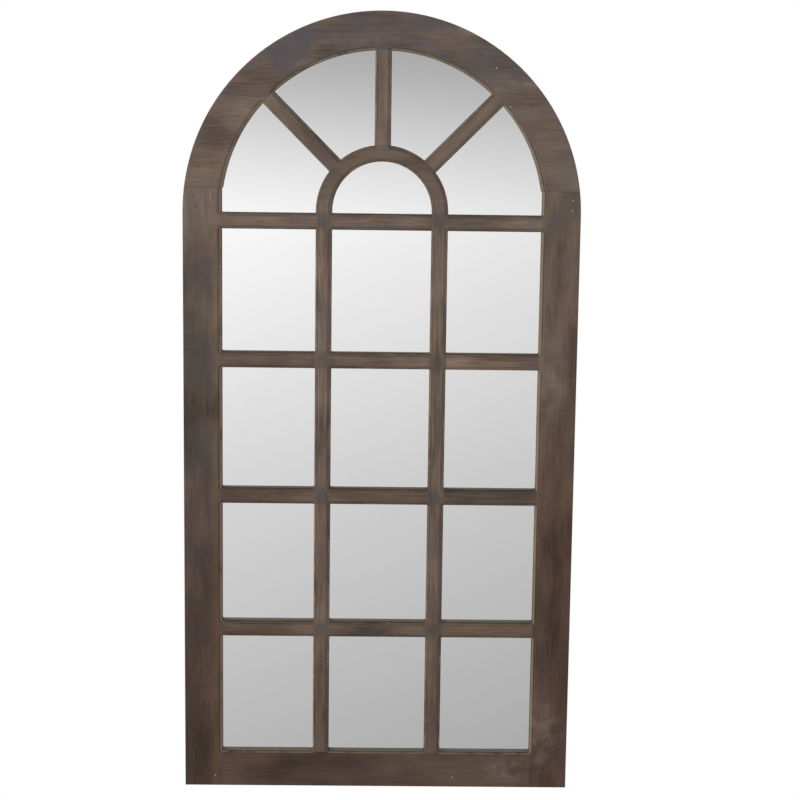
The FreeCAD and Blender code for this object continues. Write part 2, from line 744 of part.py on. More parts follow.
def make_spoke(name, angle):
    """Fan bar, coped to the head's inner circle and to the hub."""
    stick = radial_box(f"spoke_{name}_stick", angle, HUB_MID, HALF, "Sizes.bar_width", 0, BAR_DEPTH)
    reach = disc(f"spoke_{name}_reach", SIGHT_R, 0, -1, ARCH_Z, size("[thickness]"))
    hub = disc(f"spoke_{name}_hub", HUB_OUT, 0, -1, HUB_Z, size("[thickness]"))
    stock = cut(f"spoke_{name}_stock", shared(f"spoke_{name}_length", [stick, reach]), hub, fan_cutter)
    tenons = [
        spoke_tenon(f"spoke_{name}_tenon_in", angle, False, NO_PLAY),
        spoke_tenon(f"spoke_{name}_tenon_out", angle, True, NO_PLAY),
    ]
    return finish(join(f"spoke_{name}", [stock] + tenons), f"spoke_{name}")


for row, name in enumerate(LEVEL_BARS, start=1):
    make_level_bar(name, row)
for name, side in SIDES:
    make_upright(name, side)
make_hub()
for name, angle in SPOKES:
    make_spoke(name, angle)


def make_dowels():
    """Dowels of the head's and the hub's butt joints, each group one node."""
    long_ones = []
    for name, side in SIDES:
        for number in (0, 1):
            long_ones.append(arch_dowel(f"arch_dowel_{name}{number}", side, number, NO_PLAY))
    finish(join("arch_dowels", long_ones), "arch_dowels")
    short_ones = [hub_dowel(f"hub_dowel_{name}", side, NO_PLAY) for name, side in SIDES]
    finish(join("hub_dowels", short_ones), "hub_dowels")


make_dowels()


# ---------------------------------------------------------------------------------------------
# Glass and back
# ---------------------------------------------------------------------------------------------

GLASS_HALF = size(f"{SIGHT_X} + [glass_rebate] - [glass_play]")


def make_lower_sheet():
    body = doc.addObject("PartDesign::Body", "mirror_lower")
    sketch = sketch_on(body, "mirror_lower_outline", "XZ_Plane")
    low = size("[rail_width] - [glass_rebate] + [sheet_gap]")
    high = size(f"{SHEET_JOINT_Z} - [sheet_gap] / 2")
    left, right = f"-{GLASS_HALF}", GLASS_HALF
    outline(sketch, [(left, low), (right, low), (right, high), (left, high)])
    pad(body, "mirror_lower_sheet", sketch, "Sizes.glass_thickness", backwards=True)
    bind(body, y=size("[glass_depth]"))
    return finish(body, "mirror_lower")


def make_fan_sheet():
    """The upper sheet: a segment of a circle that stands on the lower sheet."""
    body = doc.addObject("PartDesign::Body", "mirror_fan")
    sketch = sketch_on(body, "mirror_fan_outline", "XZ_Plane")
    low = size(f"{SHEET_JOINT_Z} + [sheet_gap] / 2")
    drop = size(f"{ARCH_Z} - {low}")
    corner = size(f"sqrt({GLASS_HALF} ^ 2 - {drop} ^ 2)")
    outline(sketch, [(corner, low), (f"-{corner}", low)], {0: ("0", ARCH_Z)})
    pad(body, "mirror_fan_sheet", sketch, "Sizes.glass_thickness", backwards=True)
    bind(body, y=size("[glass_depth]"))
    return finish(body, "mirror_fan")


def make_board():
    """Hardboard back: square below, half round above, flush in its rebate."""
    half = size(f"{SIGHT_X} + [board_rebate] - [board_play]")
    low = size("[rail_width] - [board_rebate] + [board_play]")
    body = doc.addObject("PartDesign::Body", "board_blank")
    sketch = sketch_on(body, "board_outline", "XZ_Plane")
    corners = [(f"-{half}", low), (half, low), (half, ARCH_Z), (f"-{half}", ARCH_Z)]
    outline(sketch, corners, {2: ("0", ARCH_Z)})
    pad(body, "board_sheet", sketch, "Sizes.board_thickness", backwards=True)
    bind(body, y=BOARD_Y)
    return finish(cut("backing_board", body, back_screw_holes), "backing_board")


make_lower_sheet()
make_fan_sheet()
make_board()
finish(
    join(
        "backing_screws",
        [back_screw(f"back_screw{i}", x, z, NO_PLAY) for i, (x, z) in enumerate(back_screw_places())],
    ),
    "backing_screws",
)


# ---------------------------------------------------------------------------------------------
# Hangers and bumpers
# ---------------------------------------------------------------------------------------------

WIRE = size("[ring_wire] / 2")
BORE = size("[ring_wire] / 2 + [ring_play]")
BARREL = size("[ring_wire] / 2 + [ring_play] + [strap_sheet]")
RING_DROP = size("[ring_corner] + [ring_leg] + [ring_bar] / 2 + [ring_corner]")


def make_strap(name, side):
    """Steel strip folded round the ring's bar, both leaves screwed down together."""
    body = doc.addObject("PartDesign::Body", f"hanger_strap_{name}")
    leaf = sketch_on(body, f"strap_leaf_{name}", "YZ_Plane")
    end = size("-[strap_length]")
    both = size("2 * [strap_sheet]")
    outline(leaf, [("0", end), (both, end), (both, "0"), ("0", "0")])
    pad(body, f"strap_leaves_{name}", leaf, "Sizes.strap_width", side="Symmetric")
    roll = sketch_on(body, f"strap_roll_{name}", "YZ_Plane")
    circle(roll, BARREL, "0", BARREL)
    pad(body, f"strap_barrel_{name}", roll, "Sizes.strap_width", side="Symmetric")
    bore = sketch_on(body, f"strap_bore_{name}", "YZ_Plane")
    circle(bore, BARREL, "0", BORE)
    pocket = body.newObject("PartDesign::Pocket", f"strap_eye_{name}")
    pocket.Profile = bore
    pocket.SideType = "Symmetric"
    bind(pocket, Length=size("2 * [strap_width]"))
    holes = sketch_on(body, f"strap_holes_{name}", "XZ_Plane")
    for number in (0, 1):
        z = size(f"-[strap_screw_first] - {number} * [strap_screw_pitch]")
        circle(holes, "0", z, size("[hanger_screw_shank] / 2 + [hanger_screw_play]"))
    drilled = body.newObject("PartDesign::Pocket", f"strap_drilled_{name}")
    drilled.Profile = holes
    drilled.SideType = "Symmetric"
    bind(drilled, Length=size("20 * [strap_sheet]"))
    doc.recompute()
    ends = []
    for i, edge in enumerate(drilled.Shape.Edges, start=1):
        limits = edge.BoundBox
        if limits.XLength < 0.01 and limits.ZLength < 0.01 and abs(limits.ZMin - value(end)) < 0.01:
            ends.append(f"Edge{i}")
    corners = body.newObject("PartDesign::Fillet", f"strap_corners_{name}")
    corners.Base = (drilled, ends)
    bind(corners, Radius="Sizes.strap_corner")
    body.Tip = corners
    bind(body, x=size(f"{side} * ({HALF} - [hanger_inset])"), y=BACK, z=HANGER_Z)
    return finish(body, f"hanger_strap_{name}")


def make_ring(name, side):
    """D-ring, hanging down against the strap."""
    body = doc.addObject("PartDesign::Body", f"hanger_ring_{name}")
    path = sketch_on(body, f"ring_path_{name}", "XZ_Plane")
    half_bar = size("[ring_bar] / 2")
    leg = size("[ring_bar] / 2 + [ring_corner]")
    shoulder = size("-[ring_corner]")
    chin = size("-[ring_corner] - [ring_leg]")
    points = [
        (f"-{half_bar}", "0"),
        (f"-{leg}", shoulder),
        (f"-{leg}", chin),
        (leg, chin),
        (leg, shoulder),
        (half_bar, "0"),
    ]
    turns = {
        0: (f"-{half_bar}", shoulder),
        2: ("0", chin),
        4: (half_bar, shoulder),
    }
    outline(path, points, turns)
    section = sketch_on(body, f"ring_section_{name}", "YZ_Plane")
    circle(section, "0", "0", WIRE)
    pipe = body.newObject("PartDesign::AdditivePipe", f"ring_wire_{name}")
    pipe.Profile = section
    pipe.Spine = path
    body.Tip = pipe
    lift = size(f"2 * [strap_sheet] + {WIRE} + [ring_rest_gap] - {BARREL}")
    body.Placement.Rotation = FreeCAD.Rotation(FreeCAD.Vector(1, 0, 0), 3)
    body.setExpression("Placement.Rotation.Angle", f"asin({lift} / {RING_DROP})")
    place = size(f"[thickness] + {BARREL}")
    bind(body, x=size(f"{side} * ({HALF} - [hanger_inset])"), y=place, z=HANGER_Z)
    return finish(body, f"hanger_ring_{name}")


def make_hanger_screws():
    screws = []
    for i, (x, z) in enumerate(hanger_screw_places()):
        shank = hanger_screw_shank(f"hanger_screw{i}", x, z, NO_PLAY)
        top = size("[thickness] + 2 * [strap_sheet]")
        head = disc(
            f"hanger_screw{i}_head", size("[hanger_screw_head] / 2"), x, top, z, "Sizes.hanger_screw_head_height"
        )
        screws.append(join(f"hanger_screw{i}_whole", [shank, head]))
    return finish(join("hanger_screws", screws), "hanger_screws")


def is_bumper_rim(edge, shape):
    """The outer rim of each button, away from the wood."""
    return edge.BoundBox.YMin > value(size("[thickness] + [bumper_height]")) - 0.01


def make_bumpers():
    """Two low rubber buttons at the bottom corners of the back."""
    buttons = []
    for name, side in SIDES:
        x = size(f"{side} * ({HALF} - [hanger_inset])")
        radius = size("[bumper_diameter] / 2")
        buttons.append(
            disc(f"bumper_{name}", radius, x, BACK, "Sizes.bumper_rise", "Sizes.bumper_height")
        )
    both = join("bumper_blanks", buttons)
    return finish(
        dressed("bumpers", both, [("Fillet", is_bumper_rim, "Radius", "Sizes.bumper_round")]), "wall_bumpers"
    )


for name, side in SIDES:
    make_strap(name, side)
    make_ring(name, side)
make_hanger_screws()
make_bumpers()


# ---------------------------------------------------------------------------------------------
# Checks and export
# ---------------------------------------------------------------------------------------------


def check_and_export():
    doc.recompute()
    for thing in doc.Objects:
        if "Invalid" in thing.State or "Error" in thing.State:
            raise RuntimeError(f"{thing.Name} did not compute: {thing.State}")
    os.makedirs("parts", exist_ok=True)
    for thing in finished:
        shape = thing.Shape
        if shape.isNull() or not shape.isValid() or not shape.Solids:
            raise RuntimeError(f"{thing.Label} has no valid solid")
        shape.exportStep(f"parts/{thing.Label}.step")


check_and_export()
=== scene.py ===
import math

import bmesh
import bpy
from bpy.props import FloatProperty, FloatVectorProperty, IntProperty, PointerProperty
from mathutils import Matrix, Vector


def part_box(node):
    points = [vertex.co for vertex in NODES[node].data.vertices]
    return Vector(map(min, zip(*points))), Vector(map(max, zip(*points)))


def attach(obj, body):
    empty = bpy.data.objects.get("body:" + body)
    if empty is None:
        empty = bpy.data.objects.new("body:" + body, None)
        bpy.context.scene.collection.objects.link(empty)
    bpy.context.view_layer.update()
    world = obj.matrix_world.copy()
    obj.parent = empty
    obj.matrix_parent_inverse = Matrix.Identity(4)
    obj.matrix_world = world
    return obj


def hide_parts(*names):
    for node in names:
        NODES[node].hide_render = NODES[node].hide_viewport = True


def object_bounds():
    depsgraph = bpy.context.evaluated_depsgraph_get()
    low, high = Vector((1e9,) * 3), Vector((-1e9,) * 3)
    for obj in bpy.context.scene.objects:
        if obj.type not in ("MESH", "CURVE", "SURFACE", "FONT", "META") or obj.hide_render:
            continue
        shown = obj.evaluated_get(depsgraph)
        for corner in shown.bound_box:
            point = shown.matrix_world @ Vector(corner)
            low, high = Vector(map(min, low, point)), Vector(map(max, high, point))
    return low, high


bl_info = {
    "name": "Arched window mirror",
    "version": (1, 0, 0),
    "blender": (4, 5, 0),
    "location": "3D View > Sidebar > Mirror",
    "description": "Finishes of an arched window mirror: stained wood, glass, board and fittings",
    "category": "Object",
}

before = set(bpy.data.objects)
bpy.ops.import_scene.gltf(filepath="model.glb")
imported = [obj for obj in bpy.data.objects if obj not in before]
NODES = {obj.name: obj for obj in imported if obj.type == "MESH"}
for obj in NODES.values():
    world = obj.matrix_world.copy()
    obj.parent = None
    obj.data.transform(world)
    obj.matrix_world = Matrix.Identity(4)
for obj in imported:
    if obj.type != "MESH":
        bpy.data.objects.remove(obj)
CAD_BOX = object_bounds()
FACE = CAD_BOX[0][1]  # y of the wood's face, the foremost thing


# ----------------------------------------------------------------------------------------------
# Settings
# ----------------------------------------------------------------------------------------------


def colour(name, about, default):
    return FloatVectorProperty(
        name=name, description=about, subtype="COLOR", size=3, min=0.0, max=1.0, default=default
    )


class MIRROR_PG_wood(bpy.types.PropertyGroup):
    """Stain, grain and wear of the wooden members."""

    deep: colour("Deep stain", "Stain in the pores and the dark grain", (0.078, 0.053, 0.039))
    body: colour("Stain", "Stain on the early wood", (0.148, 0.103, 0.075))
    pale: colour("Dry patches", "Patches where the stain is rubbed thin", (0.205, 0.148, 0.108))
    cool: colour("Grey wash", "Thin grey wash, strongest on the head", (0.098, 0.083, 0.082))
    bare: colour("Bare wood", "Wood that shows on rubbed edges", (0.275, 0.196, 0.118))
    dust: colour("Dust", "Pale dust on the ledges beside the glass", (0.38, 0.34, 0.28))
    # Also the colour of the painted shade and painted shadow in the moulding, and of the joint
    # lines.
    pooled: colour("Pooled stain", "Stain that has run into the corners", (0.040, 0.030, 0.022))
    pore_width: FloatProperty(
        name="Pore width", description="Width of the finest grain lines", subtype="DISTANCE",
        unit="LENGTH", min=0.0003, max=0.01, default=0.0011,
    )
    stretch: FloatProperty(
        name="Grain length", description="Length of a grain line over its width", min=1.0,
        max=80.0, default=22.0,
    )
    relief: FloatProperty(
        name="Grain relief", description="Depth of the open pores", subtype="DISTANCE",
        unit="LENGTH", min=0.0, max=0.001, default=0.00008,
    )


class MIRROR_PG_glass(bpy.types.PropertyGroup):
    """The two silvered sheets."""

    silver: colour("Silver", "Tint of the silvered glass", (0.93, 0.935, 0.93))
    haze: FloatProperty(
        name="Haze", description="Roughness of the clean glass", subtype="FACTOR", min=0.0,
        max=0.3, default=0.02,
    )


class MIRROR_PG_back(bpy.types.PropertyGroup):
    """Board, screws, hangers and bumpers."""

    board: colour("Hardboard", "Pressed brown fibre board", (0.165, 0.090, 0.045))
    zinc: colour("Zinc", "Zinc plating of the fittings", (0.60, 0.60, 0.57))
    rubber: colour("Rubber", "Rubber of the wall bumpers", (0.020, 0.020, 0.021))
    thread_turns: IntProperty(
        name="Thread turns", description="Turns of thread on each screw", min=1, max=20,
        default=7,
    )


class MIRROR_PG_stage(bpy.types.PropertyGroup):
    """Camera and lamps."""

    place: FloatVectorProperty(
        name="Camera", description="Where the camera stands", subtype="TRANSLATION",
        unit="LENGTH", size=3, default=(-0.008, -2.7000, 1.027),
    )
    pitch: FloatProperty(
        name="Downward tilt", description="How far the camera looks down", subtype="ANGLE",
        default=math.radians(8.44),
    )
    yaw: FloatProperty(
        name="Turn", description="How far the camera is turned about the upright",
        subtype="ANGLE", default=math.radians(-0.834),
    )
    roll: FloatProperty(
        name="Roll", description="How far the camera leans to its side", subtype="ANGLE",
        default=math.radians(0.74),
    )
    lens: FloatProperty(
        name="Lens", description="Focal length for a sensor 36 mm wide, in millimetres",
        min=10.0, max=300.0, default=78.75,
    )
    lamp: FloatProperty(
        name="Lamps", description="Power of the large lamp in watts", min=0.0, default=42.0
    )
    sky: FloatProperty(
        name="Sky", description="Level of the light from all round", min=0.0, default=0.62
    )


# ----------------------------------------------------------------------------------------------
# Node helpers
# ----------------------------------------------------------------------------------------------


def node(tree, kind, inputs=None, **settings):
    """Adds a node, sets its fields, and fills or links its inputs."""
    made = tree.nodes.new(kind)
    for field, value in settings.items():
        setattr(made, field, value)
    for key, value in (inputs or {}).items():
        if isinstance(value, bpy.types.NodeSocket):
            tree.links.new(value, made.inputs[key])
        else:
            made.inputs[key].default_value = value
    return made


def maths(tree, operation, *values):
    made = node(tree, "ShaderNodeMath", dict(enumerate(values)), operation=operation)
    return made.outputs[0]


def times(tree, first, second):
    return maths(tree, "MULTIPLY", first, second)


def vectors(tree, operation, first, second):
    made = node(tree, "ShaderNodeVectorMath", {0: first, 1: second}, operation=operation)
    return made.outputs[0]


def part(tree, vector, axis):
    """The X, Y or Z part of a vector."""
    return node(tree, "ShaderNodeSeparateXYZ", {0: vector}).outputs[axis]


def object_point(tree):
    """The shaded point in the object's own frame."""
    return node(tree, "ShaderNodeTexCoord").outputs["Object"]


def band(tree, value, low, high, out_low=0.0, out_high=1.0):
    """A smooth change from one level to another as value goes from low to high."""
    inputs = {
        "Value": value, "From Min": low, "From Max": high, "To Min": out_low, "To Max": out_high,
    }
    return node(tree, "ShaderNodeMapRange", inputs, interpolation_type="SMOOTHSTEP").outputs[0]


def plateau(tree, value, start, full, fall, end):
    """Nothing up to start, all from full to fall, and nothing again from end on."""
    return times(tree, band(tree, value, start, full), band(tree, value, end, fall))


def blend(tree, share, first, second, mode="MIX"):
    """Mixes two colours."""
    made = node(tree, "ShaderNodeMix", data_type="RGBA", blend_type=mode, clamp_factor=True)
    sockets = (made.inputs[0], share), (made.inputs[6], first), (made.inputs[7], second)
    for socket, value in sockets:
        if isinstance(value, bpy.types.NodeSocket):
            tree.links.new(value, socket)
        else:
            socket.default_value = value if isinstance(value, float) else (*value[:3], 1.0)
    return made.outputs[2]


def tint(tree, shade, tone):
    """One colour times another."""
    return blend(tree, 1.0, shade, tone, "MULTIPLY")


def noise(tree, vector, scale, detail=3.0, roughness=0.55, distortion=0.0):
    inputs = {
        "Vector": vector, "Scale": scale, "Detail": detail, "Roughness": roughness,
        "Distortion": distortion,
    }
    return node(tree, "ShaderNodeTexNoise", inputs).outputs["Fac"]


def bump(tree, height, distance, strength=1.0):
    inputs = {"Height": height, "Distance": distance, "Strength": strength}
    return node(tree, "ShaderNodeBump", inputs).outputs[0]


SOCKETS = {
    "float": "NodeSocketFloat",
    "colour": "NodeSocketColor",
    "vector": "NodeSocketVector",
}


def shader_group(name, inputs, outputs):
    """An empty shader node group with named sockets; inputs are (name, kind, default)."""
    tree = bpy.data.node_groups.new(name, "ShaderNodeTree")
    for label, kind, default in inputs:
        socket = tree.interface.new_socket(label, in_out="INPUT", socket_type=SOCKETS[kind])
        if default is not None:
            socket.default_value = (*default, 1.0) if kind == "colour" else default
    for label, kind in outputs:
        tree.interface.new_socket(label, in_out="OUTPUT", socket_type=SOCKETS[kind])
    given = tree.nodes.new("NodeGroupInput").outputs
    result = tree.nodes.new("NodeGroupOutput").inputs
    return tree, given, result


def shared_group(name, build):
    """A node group by name, built the first time it is asked for."""
    return bpy.data.node_groups.get(name) or build(name)


def use(tree, group, **inputs):
    """Places a group in a tree; underscores in a name stand for spaces."""
    made = tree.nodes.new("ShaderNodeGroup")
    made.node_tree = group
    for key, value in inputs.items():
        socket = made.inputs[key.replace("_", " ").capitalize()]
        if isinstance(value, bpy.types.NodeSocket):
            tree.links.new(value, socket)
        elif socket.type == "RGBA":
            socket.default_value = (*value[:3], 1.0)
        else:
            socket.default_value = value
    return made.outputs


def material(name):
    """A new material, its tree and its Principled shader."""
    made = bpy.data.materials.new(name)
    made.use_nodes = True
    return made, made.node_tree, made.node_tree.nodes["Principled BSDF"]


def surface(tree, shader, shade, roughness, normal=None):
    """Links a finish to a Principled shader."""
    tree.links.new(shade, shader.inputs["Base Color"])
    tree.links.new(roughness, shader.inputs["Roughness"])
    if normal is not None:
        tree.links.new(normal, shader.inputs["Normal"])


def dress(name, finish):
    """Gives every slot of a CAD node a finish."""
    for slot in NODES[name].material_slots:
        slot.material = finish


# ----------------------------------------------------------------------------------------------
# Effects that several materials share
# ----------------------------------------------------------------------------------------------

# Zones of the moulding by depth below the face, in metres: start, full, start of the fall, end.
# ARRIS_ZONE holds a painted highlight along the edge of the face.
ARRIS_ZONE = (0.00008, 0.0003, 0.0009, 0.00115)
# QUIRK_ZONE holds stain pooled in the groove and painted shade.
QUIRK_ZONE = (0.00095, 0.00115, 0.00135, 0.0019)
CREST_ZONE = (0.0014, 0.0020, 0.0050, 0.0068)

# Depths over which painted shade on the level sides, dust on ledges, and painted shadow on the
# wall beside the glass set in.
LEDGE_DEPTHS = (0.0011, 0.0024)
DUST_DEPTHS = (0.0056, 0.0078)
WALL_DEPTHS = (0.0085, 0.0128)


def build_grain(name):
    """Stained grain along local Z: a soft mottle, faint streaks, fine pores and a grey wash."""
    tree, given, result = shader_group(
        name,
        [
            ("Vector", "vector", None),
            ("Deep", "colour", (0.06, 0.04, 0.03)),
            ("Body", "colour", (0.15, 0.11, 0.08)),
            ("Pale", "colour", (0.2, 0.15, 0.12)),
            ("Cool", "colour", (0.1, 0.1, 0.1)),
            ("Cool share", "float", 0.0),
            ("Pore width", "float", 0.0011),
            ("Stretch", "float", 22.0),
            ("Streaks", "float", 0.5),
            ("Light", "colour", (1.0, 1.0, 1.0)),
        ],
        [("Color", "colour"), ("Roughness", "float"), ("Height", "float")],
    )
    here = given["Vector"]
    wander = node(
        tree, "ShaderNodeTexNoise", {"Vector": here, "Scale": 6.0, "Detail": 1.0}
    ).outputs["Color"]
    bend = vectors(tree, "SUBTRACT", wander, (0.5, 0.5, 0.5))
    bend = vectors(tree, "MULTIPLY", bend, (0.014, 0.014, 0.0))
    bent = vectors(tree, "ADD", here, bend)
    squeeze = maths(tree, "DIVIDE", 1.0, given["Stretch"])
    along = node(tree, "ShaderNodeCombineXYZ", {"X": 1.0, "Y": 1.0, "Z": squeeze}).outputs[0]
    fibre = vectors(tree, "MULTIPLY", bent, along)
    pore_scale = maths(tree, "DIVIDE", 1.0, given["Pore width"])
    pores = noise(tree, fibre, pore_scale, 2.0, 0.6)
    streaks = noise(tree, fibre, times(tree, pore_scale, 0.4))
    mottle = noise(tree, vectors(tree, "MULTIPLY", bent, (1.0, 1.0, 0.3)), 30.0, 3.0, 0.5)
    clouds = noise(tree, here, 9.0, 2.0, 0.5)
    wash = noise(tree, here, 17.0, 3.0, 0.6, 0.5)

    lines = times(tree, maths(tree, "SUBTRACT", streaks, 0.5), given["Streaks"])
    patches = maths(tree, "MULTIPLY_ADD", mottle, 0.6, times(tree, clouds, 0.4))
    tone = maths(tree, "ADD", patches, lines)
    shade = blend(tree, band(tree, tone, 0.31, 0.53), given["Deep"], given["Body"])
    shade = blend(tree, band(tree, tone, 0.49, 0.68), shade, given["Pale"])
    washed = times(tree, band(tree, wash, 0.40, 0.66), given["Cool share"])
    shade = blend(tree, washed, shade, given["Cool"])
    open_pores = band(tree, pores, 0.30, 0.44, 1.0, 0.0)
    stained = times(tree, open_pores, times(tree, given["Streaks"], 0.5))
    shade = blend(tree, stained, shade, given["Deep"])
    height = maths(tree, "MULTIPLY_ADD", open_pores, -0.7, times(tree, streaks, 0.6))
    tree.links.new(tint(tree, shade, given["Light"]), result["Color"])
    tree.links.new(band(tree, mottle, 0.3, 0.8, 0.60, 0.46), result["Roughness"])
    tree.links.new(height, result["Height"])
    return tree


def build_moulded_edge(name):
    """Rubbed, stained and dusty parts of a moulded edge, with its painted highlight and painted
    shade, by depth below the face.
    """
    tree, given, result = shader_group(
        name,
        [
            ("Vector", "vector", None),
            ("Face", "float", 0.0),
            ("Wear", "float", 0.5),
            ("Ledge", "float", 1.0),
        ],
        [("Arris", "float"), ("Rubbed", "float"), ("Shade and pooled", "float"), ("Dusty", "float")],
    )
    here = given["Vector"]
    depth = maths(tree, "SUBTRACT", part(tree, here, "Y"), given["Face"])
    scuff = noise(tree, here, 34.0, 3.0, 0.6)
    fine = noise(tree, here, 240.0, 2.0, 0.6)
    level = maths(tree, "MULTIPLY_ADD", fine, 0.3, times(tree, scuff, 0.7))
    upward = part(tree, node(tree, "ShaderNodeNewGeometry").outputs["True Normal"], "Z")

    # Arris: a pale line along the edge of the face, a painted highlight broken by noise.
    broken = band(tree, level, 0.36, 0.62, 0.35, 1.0)
    arris = times(tree, plateau(tree, depth, *ARRIS_ZONE), broken)
    reach = maths(tree, "SUBTRACT", 0.80, times(tree, given["Wear"], 0.45))
    low, high = maths(tree, "SUBTRACT", reach, 0.10), maths(tree, "ADD", reach, 0.06)
    rubbed = times(tree, plateau(tree, depth, *CREST_ZONE), band(tree, level, low, high))
    dusty = times(tree, band(tree, upward, 0.5, 0.9), band(tree, depth, *DUST_DEPTHS))

    # Ledge: painted shade on the sides of the moulding that face up or down.
    flat = band(tree, maths(tree, "ABSOLUTE", upward), 0.25, 0.85)
    ledge = times(tree, flat, band(tree, depth, *LEDGE_DEPTHS))
    ledge = times(tree, ledge, given["Ledge"])
    ledge = times(tree, ledge, band(tree, level, 0.25, 0.7, 1.0, 0.7))
    # Groove: stain pooled in it, darkened further with painted shade.
    quirk_stain_and_shade = times(tree, plateau(tree, depth, *QUIRK_ZONE), 0.5)
    # Wall: painted shadow on the side of the bar between the moulding and the glass.
    wall = times(tree, band(tree, depth, *WALL_DEPTHS), 0.6)
    # Painted shade and pooled stain: the strongest of the marks in the groove, on the wall and on
    # the ledges.
    pooled = maths(tree, "MAXIMUM", maths(tree, "MAXIMUM", quirk_stain_and_shade, wall), ledge)
    for output, mask in (
        ("Arris", arris), ("Rubbed", rubbed), ("Shade and pooled", pooled), ("Dusty", dusty),
    ):
        tree.links.new(mask, result[output])
    return tree


def build_mark(name):
    """One mark at a place, and how far a point is from it, over its size."""
    tree, given, result = shader_group(
        name,
        [
            ("Vector", "vector", None),
            ("Place", "vector", (0.0, 0.0, 0.0)),
            ("Size", "vector", (0.001, 1.0, 0.001)),
        ],
        [("Mask", "float"), ("Distance", "float")],
    )
    away = vectors(tree, "SUBTRACT", given["Vector"], given["Place"])
    scaled = vectors(tree, "DIVIDE", away, given["Size"])
    length = node(
        tree, "ShaderNodeVectorMath", {0: scaled}, operation="LENGTH"
    ).outputs["Value"]
    tree.links.new(band(tree, length, 1.15, 0.7), result["Mask"])
    tree.links.new(length, result["Distance"])
    return tree


def mark(tree, here, place, size):
    """The mask and the distance of a mark."""
    group = shared_group("Mark", build_mark)
    return use(tree, group, vector=here, place=place, size=size)


def build_handling(name):
    """Faint dust and wiping marks."""
    tree, given, result = shader_group(
        name,
        [("Vector", "vector", None), ("Clean", "float", 0.02), ("Marked", "float", 0.06)],
        [("Roughness", "float"), ("Dust", "float")],
    )
    wide = noise(tree, given["Vector"], 7.0, 3.0, 0.5)
    fine = noise(tree, given["Vector"], 180.0, 2.0, 0.6)
    mask = times(tree, band(tree, wide, 0.45, 0.75), fine)
    span = maths(tree, "SUBTRACT", given["Marked"], given["Clean"])
    roughness = maths(tree, "MULTIPLY_ADD", mask, span, given["Clean"])
    tree.links.new(roughness, result["Roughness"])
    tree.links.new(mask, result["Dust"])
    return tree


def build_plating(name):
    """Brushed zinc: fine scratches, dull patches and a little grime."""
    tree, given, result = shader_group(
        name,
        [
            ("Vector", "vector", None),
            ("Metal", "colour", (0.6, 0.6, 0.57)),
            ("Grime", "float", 0.4),
        ],
        [("Color", "colour"), ("Roughness", "float"), ("Height", "float")],
    )
    long = node(
        tree, "ShaderNodeMapping", {"Vector": given["Vector"], "Scale": (1.0, 1.0, 0.06)}
    ).outputs[0]
    scratches = noise(tree, long, 2600.0, 2.0, 0.6)
    patches = noise(tree, given["Vector"], 160.0, 3.0, 0.6)
    dull = times(tree, band(tree, patches, 0.42, 0.68), given["Grime"])
    brushed = band(tree, scratches, 0.3, 0.7, 0.26, 0.44)
    shade = blend(tree, dull, given["Metal"], (0.24, 0.22, 0.19))
    tree.links.new(shade, result["Color"])
    tree.links.new(maths(tree, "MULTIPLY_ADD", dull, 0.25, brushed), result["Roughness"])
    tree.links.new(scratches, result["Height"])
    return tree


# ----------------------------------------------------------------------------------------------
# Stained wood
# ----------------------------------------------------------------------------------------------

WHITE = (1.0, 1.0, 1.0)
UPRIGHT = (0.0, 0.0, 0.0)
LEVEL = (0.0, math.radians(90.0), 0.0)
SPOKE_TURN = math.radians(45.0)

# Reach of each kind of mark in x, y and z, in metres.
POOL = (0.020, 1.0, 0.020)
CHIP = (0.0012, 0.004, 0.0015)
NAIL = (0.0007, 0.004, 0.0024)
WORM = (0.0016, 0.004, 0.0016)

HOLE_TONE = (0.014, 0.010, 0.008)
CHIP_TONE = (0.42, 0.37, 0.30)
SCUFF_TONE = (0.24, 0.20, 0.165)
PALE_SEAM = (0.25, 0.19, 0.145)

DARKER_BELOW = ((0.0, 0.85, (0.66, 0.61, 0.58)),)  # the fade of most pieces
BAR_ENDS = (-0.18, 0.20)  # x between which a level bar's tone changes


def on_face(x, z):
    return (x, FACE, z)


def crossings():
    """x and z of each place where an upright bar crosses a level one."""
    low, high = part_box("upright_bar_left")
    column = (low[0] + high[0]) / 2
    levels = []
    for name in ("cross_bar_lower", "cross_bar_middle", "cross_bar_upper", "transom"):
        low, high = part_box(name)
        levels.append((low[2] + high[2]) / 2)
    return [(side * column, z) for z in levels for side in (1, -1)]


def pools(tree, here, places):
    """A grey pool of stain over each crossing of the bars, ragged at its edge."""
    ragged = noise(tree, here, 60.0, 3.0, 0.6)
    total = None
    for x, z in places:
        away = mark(tree, here, (x, 0.0, z), POOL)["Distance"]
        near = band(tree, maths(tree, "MULTIPLY_ADD", ragged, 0.9, away), 1.45, 0.75)
        total = near if total is None else maths(tree, "MAXIMUM", total, near)
    return total


def lightness(tree, here, rise, light, fades, across):
    """The tone that a whole piece is multiplied by."""
    level = (light, light, light)
    for low, high, tone in fades:
        level = tint(tree, level, blend(tree, band(tree, rise, low, high), tone, WHITE))
    if across:
        left, right, first, second = across
        sideways = band(tree, part(tree, here, "X"), left, right)
        level = tint(tree, level, blend(tree, sideways, first, second))
    return level


